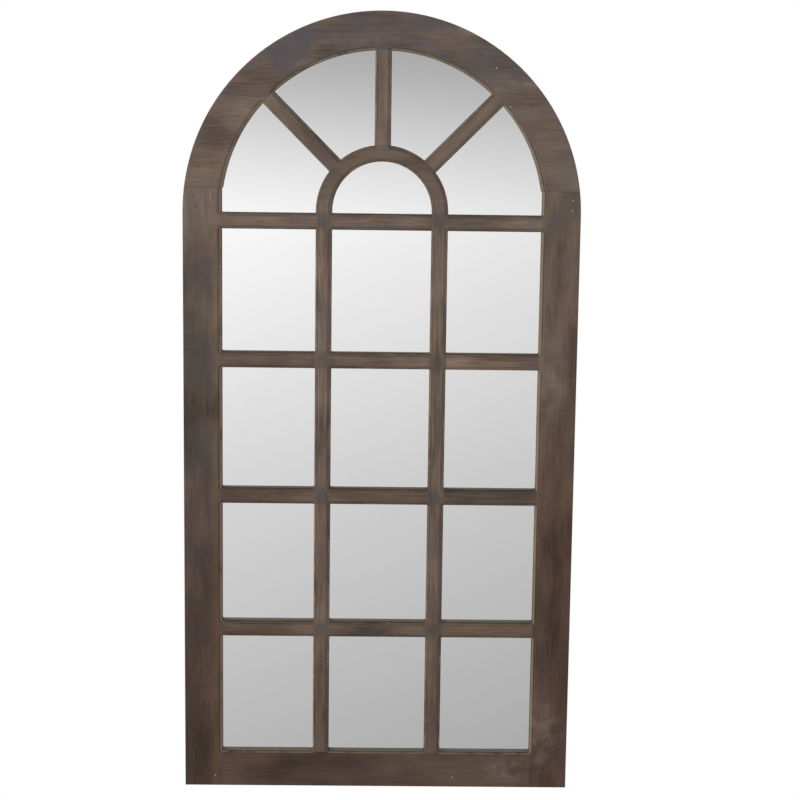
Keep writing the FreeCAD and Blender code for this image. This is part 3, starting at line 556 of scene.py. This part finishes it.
def stained_wood(
    name, turn, shift, light, cool, wear, streaks, fades=DARKER_BELOW, across=None, ledge=1.0,
    dust=0.45, pooled=(), seams=(), seam_tone=None, scuffs=(), marks=(), specks=(),
):
    """Stained wood whose grain runs along Z once the piece is turned.

    turn and shift place the piece in the grain, and light is the tone of the whole piece.
    wear is how far the moulding is rubbed, and streaks how strong the lines of the grain are.
    cool is the share of grey wash, or two heights and the share at each.
    fades are (height of the full tone, height where it ends, tone).
    across is an x to the left, one to the right, and the tone at each.
    ledge and dust say how strong the painted shade and the dust are on the level sides of the
    moulding.
    pooled are the crossings with a grey pool; seams are heights of joints with a thin line.
    scuffs and marks are (place, size) of pale patches and dark holes; specks are places of chips.
    """
    wood = bpy.context.scene.mirror_wood
    made, tree, shader = material(name)
    here = object_point(tree)
    turned = node(
        tree, "ShaderNodeMapping", {"Vector": here, "Location": shift, "Rotation": turn},
        vector_type="POINT",
    ).outputs[0]
    rise = part(tree, here, "Z")
    if isinstance(cool, tuple):
        cool = band(tree, rise, *cool)
    grain = use(
        tree, shared_group("Stained grain", build_grain), vector=turned, deep=wood.deep,
        body=wood.body, pale=wood.pale, cool=wood.cool, cool_share=cool,
        pore_width=wood.pore_width, stretch=wood.stretch, streaks=streaks,
        light=lightness(tree, here, rise, light, fades, across),
    )
    edge = use(
        tree, shared_group("Moulded edge", build_moulded_edge), vector=here, face=FACE,
        wear=wear, ledge=ledge,
    )
    shade = grain["Color"]
    if pooled:
        shade = blend(
            tree, times(tree, pools(tree, here, pooled), 0.62), shade,
            [c * 0.62 for c in wood.cool],
        )
    # Colour of the painted highlight on the arris, between the grain and bare wood.
    arris_highlight_tone = blend(tree, 0.45, grain["Color"], wood.bare)
    # Painted highlight on the arris, wear on the crest, painted shade with pooled stain, and
    # dust.
    for mask, share, tone in (
        (edge["Arris"], 0.55, arris_highlight_tone), (edge["Rubbed"], 0.75, wood.bare),
        (edge["Shade and pooled"], 0.72, wood.pooled), (edge["Dusty"], dust, wood.dust),
    ):
        shade = blend(tree, times(tree, mask, share), shade, tone)
    for z in seams:
        away = maths(tree, "ABSOLUTE", maths(tree, "SUBTRACT", rise, z))
        line = times(tree, band(tree, away, 0.0009, 0.0003), 0.45)
        shade = blend(tree, line, shade, seam_tone or wood.pooled)
    for place, size in scuffs:
        near = band(tree, mark(tree, here, place, size)["Distance"], 1.1, 0.2)
        broken = band(tree, noise(tree, turned, 46.0, 4.0, 0.6), 0.35, 0.75, 0.0, 0.36)
        shade = blend(tree, times(tree, near, broken), shade, SCUFF_TONE)
    height = grain["Height"]
    for place, size in marks:
        mask = mark(tree, here, place, size)["Mask"]
        shade = blend(tree, times(tree, mask, 0.7), shade, HOLE_TONE)
        height = maths(tree, "MULTIPLY_ADD", mask, -2.0, height)
    for place in specks:
        mask = mark(tree, here, place, CHIP)["Mask"]
        shade = blend(tree, times(tree, mask, 0.6), shade, CHIP_TONE)
    surface(tree, shader, shade, grain["Roughness"], bump(tree, height, wood.relief, 0.9))
    shader.inputs["Specular IOR Level"].default_value = 0.30
    return made


class MIRROR_OT_outer_frame(bpy.types.Operator):
    """Finishes the head, both stiles and the bottom rail."""

    bl_idname = "mirror.outer_frame"
    bl_label = "Outer frame"

    def execute(self, context):
        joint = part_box("arch")[0][2]
        rail_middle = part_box("bottom_rail")[1][2] * 0.5
        nails = ((-0.289, 0.012), (-0.258, 0.014), (-0.285, 0.028), (-0.263, 0.028))
        head = stained_wood(
            "wood_head", turn=LEVEL, shift=(0.3, 0.1, 0.0), light=0.97,
            cool=(1.02, 1.18, 0.50, 1.0), wear=0.75, streaks=0.35,
            fades=((1.22, 0.98, (0.80, 0.83, 0.92)),), ledge=0.35, dust=0.0, seams=(joint,),
            specks=(on_face(0.171, 1.137), on_face(0.193, 1.079)),
        )
        left = stained_wood(
            "wood_stile_left", turn=UPRIGHT, shift=(0.9, 0.0, 0.2), light=0.98, cool=0.55,
            wear=0.8, streaks=0.3,
            fades=((0.76, 0.95, (0.62, 0.60, 0.58)), (0.12, 0.74, (0.74, 0.58, 0.50))),
            across=(-0.270, -0.252, (0.85, 0.90, 0.96), (1.32, 1.30, 1.24)), seams=(joint,),
            marks=[(on_face(x, joint - drop), NAIL) for x, drop in nails],
            specks=(on_face(-0.257, 0.0165),),
        )
        right = stained_wood(
            "wood_stile_right", turn=UPRIGHT, shift=(1.7, 0.4, 0.6), light=0.88,
            cool=(0.80, 0.96, 0.25, 0.6), wear=0.95, streaks=0.3,
            fades=((0.0, 0.85, (0.70, 0.66, 0.62)), (0.40, 0.80, (0.80, 0.69, 0.65))),
            across=(0.262, 0.295, WHITE, (0.90, 0.84, 0.80)), seams=(joint,),
            scuffs=(
                (on_face(0.268, 0.66), (0.030, 0.010, 0.09)),
                (on_face(0.262, 0.09), (0.045, 0.010, 0.08)),
            ),
            marks=((on_face(0.258, 0.032), WORM), (on_face(0.268, 0.031), WORM)),
            specks=(on_face(0.292, 0.939), on_face(0.292, 0.924)),
        )
        rail = stained_wood(
            "wood_rail", turn=LEVEL, shift=(0.0, 2.2, 0.7), light=0.76, cool=0.10, wear=0.75,
            streaks=0.3, across=(-0.10, 0.20, (0.88, 0.78, 0.76), WHITE),
            scuffs=((on_face(0.215, rail_middle), (0.06, 0.010, 0.03)),),
            specks=(on_face(0.122, 0.0162),),
        )
        dress("arch", head)
        dress("stile_left", left)
        dress("stile_right", right)
        dress("bottom_rail", rail)
        return {"FINISHED"}


class MIRROR_OT_glazing_bars(bpy.types.Operator):
    """Finishes the transom, the level bars and the upright bars."""

    bl_idname = "mirror.glazing_bars"
    bl_label = "Glazing bars"

    def execute(self, context):
        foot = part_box("hub_arch")[0][2]
        places = crossings()
        bars = {
            "transom": dict(turn=LEVEL, shift=(2.1, 0.3, 0.1), light=1.03, cool=0.40, wear=0.4),
            "cross_bar_upper": dict(
                turn=LEVEL, shift=(3.2, 0.6, 0.4), light=0.92, cool=0.30, wear=0.4,
                across=(*BAR_ENDS, (0.86, 0.79, 0.77), (1.25, 1.2, 1.2)),
            ),
            "cross_bar_middle": dict(
                turn=LEVEL, shift=(4.3, 0.2, 0.9), light=0.86, cool=0.25, wear=0.4,
                across=(*BAR_ENDS, (0.94, 0.88, 0.85), (0.98, 0.93, 0.9)),
            ),
            "cross_bar_lower": dict(
                turn=LEVEL, shift=(5.4, 0.5, 0.5), light=0.96, cool=0.25, wear=0.45
            ),
            "upright_bar_left": dict(
                turn=UPRIGHT, shift=(6.5, 0.1, 0.3), light=1.03, cool=0.45, wear=0.5,
                seams=(foot,),
            ),
            "upright_bar_right": dict(
                turn=UPRIGHT, shift=(7.6, 0.7, 0.8), light=1.03, cool=0.35, wear=0.5,
                seams=(foot,),
            ),
        }
        for name, settings in bars.items():
            finish = stained_wood(
                f"wood_{name}", streaks=0.55, pooled=places, seam_tone=PALE_SEAM, **settings
            )
            dress(name, finish)
        return {"FINISHED"}


class MIRROR_OT_fan_bars(bpy.types.Operator):
    """Finishes the hub and the spokes of the fan."""

    bl_idname = "mirror.fan_bars"
    bl_label = "Fan bars"

    def execute(self, context):
        for name, turn, shift, light in (
            ("hub_arch", LEVEL, (1.1, 1.3, 0.6), 0.90),
            ("spoke_left", (0.0, SPOKE_TURN, 0.0), (2.2, 1.4, 0.2), 1.0),
            ("spoke_centre", UPRIGHT, (3.3, 1.5, 0.9), 1.0),
            ("spoke_right", (0.0, -SPOKE_TURN, 0.0), (4.4, 1.6, 0.4), 1.0),
        ):
            finish = stained_wood(
                f"wood_{name}", turn=turn, shift=shift, light=light, cool=0.45, wear=0.5,
                streaks=0.3, ledge=0.7,
            )
            dress(name, finish)
        return {"FINISHED"}


# ----------------------------------------------------------------------------------------------
# Glass, back, dowels and hangers
# ----------------------------------------------------------------------------------------------


class MIRROR_OT_glass(bpy.types.Operator):
    """Silvers both sheets."""

    bl_idname = "mirror.glass"
    bl_label = "Silvered glass"

    def execute(self, context):
        glass = context.scene.mirror_glass
        made, tree, shader = material("silvered_glass")
        handled = use(
            tree, shared_group("Handling", build_handling), vector=object_point(tree),
            clean=glass.haze, marked=glass.haze + 0.03,
        )
        dusty = times(tree, handled["Dust"], 0.06)
        shade = blend(tree, dusty, glass.silver, (0.75, 0.75, 0.73))
        surface(tree, shader, shade, handled["Roughness"])
        shader.inputs["Metallic"].default_value = 1.0
        dress("mirror_fan", made)
        dress("mirror_lower", made)
        return {"FINISHED"}


def hardboard(board):
    """Pressed fibre board, fine flecks under soft clouds."""
    made, tree, shader = material("hardboard")
    here = object_point(tree)
    fibres = noise(tree, here, 900.0, 3.0, 0.7)
    clouds = noise(tree, here, 14.0, 4.0, 0.6)
    shade = blend(tree, band(tree, fibres, 0.3, 0.7), [c * 0.62 for c in board], board)
    lighter = times(tree, band(tree, clouds, 0.35, 0.7), 0.35)
    shade = blend(tree, lighter, shade, [c * 1.5 for c in board])
    roughness = band(tree, clouds, 0.3, 0.7, 0.42, 0.6)
    surface(tree, shader, shade, roughness, bump(tree, fibres, 0.0001, 0.5))
    return made


def bumper_rubber(rubber):
    """Dull black rubber."""
    made, tree, shader = material("bumper_rubber")
    specks = noise(tree, object_point(tree), 1400.0, 3.0, 0.6)
    shade = blend(tree, band(tree, specks, 0.4, 0.75), rubber, [c * 2.2 for c in rubber])
    roughness = band(tree, specks, 0.3, 0.7, 0.62, 0.8)
    surface(tree, shader, shade, roughness, bump(tree, specks, 0.00006, 0.4))
    return made


def plated(name, metal, grime):
    """Zinc-plated steel."""
    made, tree, shader = material(name)
    plating = use(
        tree, shared_group("Plating", build_plating), vector=object_point(tree), metal=metal,
        grime=grime,
    )
    normal = bump(tree, plating["Height"], 0.00002, 0.4)
    surface(tree, shader, plating["Color"], plating["Roughness"], normal)
    shader.inputs["Metallic"].default_value = 1.0
    return made


class MIRROR_OT_back(bpy.types.Operator):
    """Finishes the hardboard back and the rubber bumpers."""

    bl_idname = "mirror.back"
    bl_label = "Back"

    def execute(self, context):
        back = context.scene.mirror_back
        dress("backing_board", hardboard(back.board))
        dress("wall_bumpers", bumper_rubber(back.rubber))
        return {"FINISHED"}


class MIRROR_OT_dowels(bpy.types.Operator):
    """Finishes the dowels inside the joints."""

    bl_idname = "mirror.dowels"
    bl_label = "Dowels"

    def execute(self, context):
        made, tree, shader = material("dowel_beech")
        grain = use(
            tree, shared_group("Stained grain", build_grain), vector=object_point(tree),
            deep=(0.30, 0.19, 0.10), body=(0.50, 0.36, 0.21), pale=(0.62, 0.48, 0.31),
            pore_width=0.0006, stretch=18.0,
        )
        normal = bump(tree, grain["Height"], 0.00005)
        surface(tree, shader, grain["Color"], grain["Roughness"], normal)
        dress("arch_dowels", made)
        dress("hub_dowels", made)
        return {"FINISHED"}


class MIRROR_OT_hangers(bpy.types.Operator):
    """Finishes the hangers and their rings."""

    bl_idname = "mirror.hangers"
    bl_label = "Hangers"

    def execute(self, context):
        zinc = context.scene.mirror_back.zinc
        strap = plated("strap_zinc", zinc, 0.45)
        ring = plated("ring_zinc", [c * 1.05 for c in zinc], 0.3)
        for side in ("left", "right"):
            dress(f"hanger_strap_{side}", strap)
            dress(f"hanger_ring_{side}", ring)
        return {"FINISHED"}


# ----------------------------------------------------------------------------------------------
# Screws
# ----------------------------------------------------------------------------------------------

AROUND = 24  # vertices round a screw
STEPS_A_TURN = 6  # rings of vertices for each turn of the thread
HEAD_RINGS = 16  # steps from a head's rim to its middle
THREADED = 0.85  # share of the shank with a thread
GROOVE = 0.22  # depth of the thread over the shank's radius
LEAST_RADIUS = 0.00002
TURN_SEED = 7

# CAD node, radius of the shank, height of the head, whether the head is domed.
SCREWS = (
    ("backing_screws", 0.0015, 0.0015, False),
    ("hanger_screws", 0.00175, 0.0020, True),
)


def recess(across, up, radius):
    """Depth of the cross recess at a point of the head, measured from its middle."""
    arm, half = radius * 0.55, radius * 0.16
    first = max(abs(across) - half, abs(up) - arm)
    second = max(abs(up) - half, abs(across) - arm)
    outside = max(0.0, min(first, second))
    slope = 0.5 - 0.35 * math.hypot(across, up) / arm
    return max(0.0, 1.0 - outside / (radius * 0.06)) * radius * slope


def screw_mesh(name, shank, length, head, rise, domed, turns):
    """One screw along Y, with y = 0 at the seat of a domed head or the rim of a sunk one."""
    shape = bmesh.new()
    rings = []

    def ring(y, radius, groove=0.0, recessed=False):
        row = []
        for k in range(AROUND):
            turn = 2.0 * math.pi * k / AROUND
            wave = (y * turns / length + k / AROUND) % 1.0
            reach = max(radius - groove * abs(2.0 * wave - 1.0), LEAST_RADIUS)
            x, z = reach * math.cos(turn), -reach * math.sin(turn)
            depth = recess(x, z, head) if recessed else 0.0
            row.append(shape.verts.new((x, y - depth, z)))
        rings.append(row)

    seat = 0.0 if domed else -rise
    steps = turns * STEPS_A_TURN
    for k in range(steps + 1):
        y = -length + (length + seat) * k / steps
        point = min(1.0, (y + length) / (2.2 * shank) + 0.04)
        ring(y, shank * point, shank * GROOVE * point if k < steps * THREADED else 0.0)
    if domed:
        ring(0.0, head * 0.97)
        ring(rise * 0.25, head)
    else:
        ring(0.0, head)
    for k in range(1, HEAD_RINGS):
        share = 1.0 - k / HEAD_RINGS
        y = rise * (0.25 + 0.75 * math.sqrt(1.0 - share * share)) if domed else 0.0
        ring(y, head * share, recessed=True)
    for low, high in zip(rings, rings[1:]):
        for k in range(AROUND):
            after = (k + 1) % AROUND
            shape.faces.new((low[k], low[after], high[after], high[k]))
    shape.faces.new(list(reversed(rings[0])))
    shape.faces.new(rings[-1])
    bmesh.ops.recalc_face_normals(shape, faces=shape.faces)
    mesh = bpy.data.meshes.new(name)
    shape.to_mesh(mesh)
    shape.free()
    return mesh


def screw_tree():
    """Sets one screw on every point of a mesh, each turned about its axis at random."""
    tree = bpy.data.node_groups.new("Screws on points", "GeometryNodeTree")
    for label, kind in (
        ("Geometry", "Geometry"), ("Screw", "Object"), ("Spin", "Float"), ("Finish", "Material"),
    ):
        socket = tree.interface.new_socket(
            label, in_out="INPUT", socket_type="NodeSocket" + kind
        )
        if label == "Spin":
            socket.default_value = 3.0
    tree.interface.new_socket("Geometry", in_out="OUTPUT", socket_type="NodeSocketGeometry")
    given = tree.nodes.new("NodeGroupInput").outputs
    out = tree.nodes.new("NodeGroupOutput").inputs
    points = node(tree, "GeometryNodeMeshToPoints", {"Mesh": given["Geometry"]}).outputs[0]
    screw = node(
        tree, "GeometryNodeObjectInfo", {"Object": given["Screw"]}
    ).outputs["Geometry"]
    chance = node(
        tree, "FunctionNodeRandomValue", {"Min": 0.0, "Max": given["Spin"], "Seed": TURN_SEED},
        data_type="FLOAT",
    )
    angle = next(o for o in chance.outputs if o.enabled)
    turned = node(tree, "ShaderNodeCombineXYZ", {"Y": angle}).outputs[0]
    placed = node(
        tree, "GeometryNodeInstanceOnPoints",
        {"Points": points, "Instance": screw, "Rotation": turned},
    ).outputs[0]
    whole = node(tree, "GeometryNodeRealizeInstances", {"Geometry": placed}).outputs[0]
    coated = node(
        tree, "GeometryNodeSetMaterial", {"Geometry": whole, "Material": given["Finish"]}
    ).outputs[0]
    tree.links.new(coated, out["Geometry"])
    return tree


def islands(name):
    """Low and high corner of each separate solid of a CAD node, from a merged copy."""
    shape = bmesh.new()
    shape.from_mesh(NODES[name].data)
    bmesh.ops.remove_doubles(shape, verts=shape.verts, dist=0.00001)
    left = set(shape.verts)
    found = []
    while left:
        group, edge = set(), [left.pop()]
        while edge:
            vert = edge.pop()
            group.add(vert)
            for link in vert.link_edges:
                other = link.other_vert(vert)
                if other in left:
                    left.discard(other)
                    edge.append(other)
        low = [min(v.co[k] for v in group) for k in range(3)]
        high = [max(v.co[k] for v in group) for k in range(3)]
        found.append((low, high))
    shape.free()
    return sorted(found)


class MIRROR_OT_screws(bpy.types.Operator):
    """Makes the screws of the back and of the hangers, with threads and cross recesses."""

    bl_idname = "mirror.screws"
    bl_label = "Screws"

    def execute(self, context):
        back = context.scene.mirror_back
        finish = plated("screw_zinc", [c * 0.95 for c in back.zinc], 0.5)
        tree = screw_tree()
        sockets = {
            item.name: item.identifier
            for item in tree.interface.items_tree if item.in_out == "INPUT"
        }
        for name, shank, rise, domed in SCREWS:
            solids = islands(name)
            low, high = solids[0]
            seat = high[1] - (rise if domed else 0.0)
            head = (high[0] - low[0]) / 2
            places = [((a[0] + b[0]) / 2, seat, (a[2] + b[2]) / 2) for a, b in solids]
            points = bpy.data.meshes.new(name + "_places")
            points.from_pydata(places, [], [])
            template = bpy.data.objects.new(
                name + "_template",
                screw_mesh(name, shank, seat - low[1], head, rise, domed, back.thread_turns),
            )
            field = bpy.data.objects.new(name + "_field", points)
            for thing in (template, field):
                context.scene.collection.objects.link(thing)
            live = field.modifiers.new("screws", "NODES")
            live.node_group = tree
            live[sockets["Screw"]] = template
            live[sockets["Finish"]] = finish
            context.view_layer.update()
            evaluated = field.evaluated_get(context.evaluated_depsgraph_get())
            mesh = bpy.data.meshes.new_from_object(evaluated)
            mesh.name = name + "_threaded"
            piece = bpy.data.objects.new(name + "_threaded", mesh)
            context.scene.collection.objects.link(piece)
            bpy.data.objects.remove(field)
            bpy.data.objects.remove(template)
            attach(piece, "mirror")
            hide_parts(name)
        return {"FINISHED"}


# ----------------------------------------------------------------------------------------------
# Stage
# ----------------------------------------------------------------------------------------------

SENSOR_WIDTH = 36.0  # millimetres
AIM = Vector((0.0, 0.0, 0.6))  # where the lamps point

# Name, place, side in metres, share of the large lamp's power.
LAMPS = (
    ("lamp_left", (-2.3, -2.0, 1.3), 1.3, 1.0),
    ("lamp_front", (0.6, -3.2, 1.0), 1.6, 0.35),
    ("lamp_back", (0.4, 2.6, 2.0), 2.2, 0.8),
)

FLOOR_HALF = 8.0
FLOOR_Z = -0.55

# What the mirror sees: the rise of a ray (its Z), and the grey of the room there.
ROOM = (
    (-0.50, 0.36),
    (-0.335, 0.48),
    (-0.19, 0.68),
    (-0.045, 0.95),
    (-0.0223, 0.833),
    (0.0, 0.705),
    (0.0113, 0.635),
    (0.028, 0.534),
    (0.0447, 0.449),
    (0.10, 0.40),
    (0.30, 0.36),
)


def either(tree, choice, first, second):
    """The second shader where choice is 1, else the first."""
    return node(tree, "ShaderNodeMixShader", {0: choice, 1: first, 2: second}).outputs[0]


def camera_turn(yaw, pitch, roll):
    """Axes of a camera that faces +Y, turned, tilted down and rolled."""
    side = Vector((math.cos(yaw), math.sin(yaw), 0.0))
    level = Vector((-math.sin(yaw), math.cos(yaw), 0.0))
    ahead = level * math.cos(pitch) - Vector((0.0, 0.0, math.sin(pitch)))
    up = level * math.sin(pitch) + Vector((0.0, 0.0, math.cos(pitch)))
    right = side * math.cos(roll) + up * math.sin(roll)
    over = up * math.cos(roll) - side * math.sin(roll)
    return Matrix((right, over, -ahead)).transposed().to_4x4()


def make_camera(scene, stage):
    eye = bpy.data.objects.new("camera", bpy.data.cameras.new("camera"))
    scene.collection.objects.link(eye)
    eye.data.sensor_width = SENSOR_WIDTH
    eye.data.lens = stage.lens
    turn = camera_turn(stage.yaw, stage.pitch, stage.roll)
    eye.matrix_world = Matrix.Translation(stage.place) @ turn
    scene.camera = eye


def make_lamps(scene, power):
    for name, place, size, share in LAMPS:
        lamp = bpy.data.objects.new(name, bpy.data.lights.new(name, "AREA"))
        lamp.data.size = size
        lamp.data.energy = power * share
        lamp.location = place
        lamp.rotation_euler = (AIM - Vector(place)).to_track_quat("-Z", "Y").to_euler()
        lamp.visible_glossy = False
        scene.collection.objects.link(lamp)


def make_floor(scene):
    """A paper floor that throws light back; a camera sees plain white, a mirror sees through."""
    mesh = bpy.data.meshes.new("floor")
    corners = ((-1, -1), (1, -1), (1, 1), (-1, 1))
    mesh.from_pydata(
        [(x * FLOOR_HALF, y * FLOOR_HALF, FLOOR_Z) for x, y in corners], [], [(0, 1, 2, 3)]
    )
    floor = bpy.data.objects.new("floor", mesh)
    scene.collection.objects.link(floor)
    made, tree, shader = material("floor_paper")
    shader.inputs["Base Color"].default_value = (0.86, 0.86, 0.86, 1.0)
    shader.inputs["Roughness"].default_value = 0.9
    fibres = noise(tree, object_point(tree), 240.0, 3.0, 0.6)
    tree.links.new(bump(tree, fibres, 0.0001), shader.inputs["Normal"])
    ray = node(tree, "ShaderNodeLightPath").outputs
    white = node(
        tree, "ShaderNodeEmission", {"Color": (*WHITE, 1.0), "Strength": 1.0}
    ).outputs[0]
    clear = node(tree, "ShaderNodeBsdfTransparent").outputs[0]
    seen = either(tree, ray["Is Camera Ray"], shader.outputs[0], white)
    mirrored = either(tree, ray["Is Glossy Ray"], seen, clear)
    tree.links.new(mirrored, tree.nodes["Material Output"].inputs["Surface"])
    mesh.materials.append(made)


def make_world(scene, level):
    """Soft light all round; a camera sees white, a mirror a room that fades up and down."""
    world = bpy.data.worlds.new("studio")
    scene.world = world
    world.use_nodes = True
    tree = world.node_tree
    tree.nodes.clear()
    ray = node(tree, "ShaderNodeLightPath").outputs
    towards = node(tree, "ShaderNodeTexCoord").outputs["Generated"]
    brighter_left = node(
        tree, "ShaderNodeMapRange",
        {
            "Value": part(tree, towards, "X"), "From Min": -0.3, "From Max": 0.3,
            "To Min": 1.27, "To Max": 0.71,
        },
    ).outputs[0]
    rise = maths(tree, "MULTIPLY_ADD", part(tree, towards, "Z"), 0.5, 0.5)
    ramp = node(tree, "ShaderNodeValToRGB", {0: rise})
    ramp.color_ramp.interpolation = "LINEAR"
    stops = ramp.color_ramp.elements
    stops.remove(stops[1])
    stops[0].position = 0.0
    stops[0].color = (*(ROOM[0][1],) * 3, 1.0)
    for height, grey in ROOM:
        stops.new(0.5 + 0.5 * height).color = (grey, grey, grey, 1.0)
    soft, white, room = (
        node(tree, "ShaderNodeBackground", {"Color": tone, "Strength": strength}).outputs[0]
        for tone, strength in (
            ((*WHITE, 1.0), level), ((*WHITE, 1.0), 1.0), (ramp.outputs[0], brighter_left),
        )
    )
    seen = either(tree, ray["Is Camera Ray"], soft, white)
    seen = either(tree, ray["Is Glossy Ray"], seen, room)
    tree.links.new(seen, tree.nodes.new("ShaderNodeOutputWorld").inputs["Surface"])


class MIRROR_OT_stage(bpy.types.Operator):
    """Adds the camera, the lamps, the floor and the light from all round."""

    bl_idname = "mirror.stage"
    bl_label = "Stage"

    def execute(self, context):
        scene, stage = context.scene, context.scene.mirror_stage
        scene.view_settings.view_transform = "Standard"
        make_camera(scene, stage)
        make_lamps(scene, stage.lamp)
        make_floor(scene)
        make_world(scene, stage.sky)
        return {"FINISHED"}


# ----------------------------------------------------------------------------------------------
# Panel and registration
# ----------------------------------------------------------------------------------------------

OPERATORS = (
    MIRROR_OT_outer_frame,
    MIRROR_OT_glazing_bars,
    MIRROR_OT_fan_bars,
    MIRROR_OT_glass,
    MIRROR_OT_back,
    MIRROR_OT_dowels,
    MIRROR_OT_hangers,
    MIRROR_OT_screws,
    MIRROR_OT_stage,
)


class MIRROR_PT_sidebar(bpy.types.Panel):
    """Lists the settings and the steps."""

    bl_idname = "MIRROR_PT_sidebar"
    bl_label = "Arched window mirror"
    bl_space_type = "VIEW_3D"
    bl_region_type = "UI"
    bl_category = "Mirror"

    def draw(self, context):
        for title, settings in (
            ("Wood", context.scene.mirror_wood),
            ("Glass", context.scene.mirror_glass),
            ("Back", context.scene.mirror_back),
            ("Stage", context.scene.mirror_stage),
        ):
            box = self.layout.box()
            box.label(text=title)
            for key in settings.bl_rna.properties.keys():
                if key not in {"rna_type", "name"}:
                    box.prop(settings, key)
        for step in OPERATORS:
            self.layout.operator(step.bl_idname)


GROUPS = {
    "mirror_wood": MIRROR_PG_wood,
    "mirror_glass": MIRROR_PG_glass,
    "mirror_back": MIRROR_PG_back,
    "mirror_stage": MIRROR_PG_stage,
}
CLASSES = (*GROUPS.values(), *OPERATORS, MIRROR_PT_sidebar)


def register():
    for made in CLASSES:
        bpy.utils.register_class(made)
    for name, kind in GROUPS.items():
        setattr(bpy.types.Scene, name, PointerProperty(type=kind))


def unregister():
    for name in GROUPS:
        delattr(bpy.types.Scene, name)
    for made in reversed(CLASSES):
        bpy.utils.unregister_class(made)


def main():
    register()
    for step in OPERATORS:
        group, name = step.bl_idname.split(".")
        getattr(getattr(bpy.ops, group), name)()


if __name__ == "__main__":
    main()
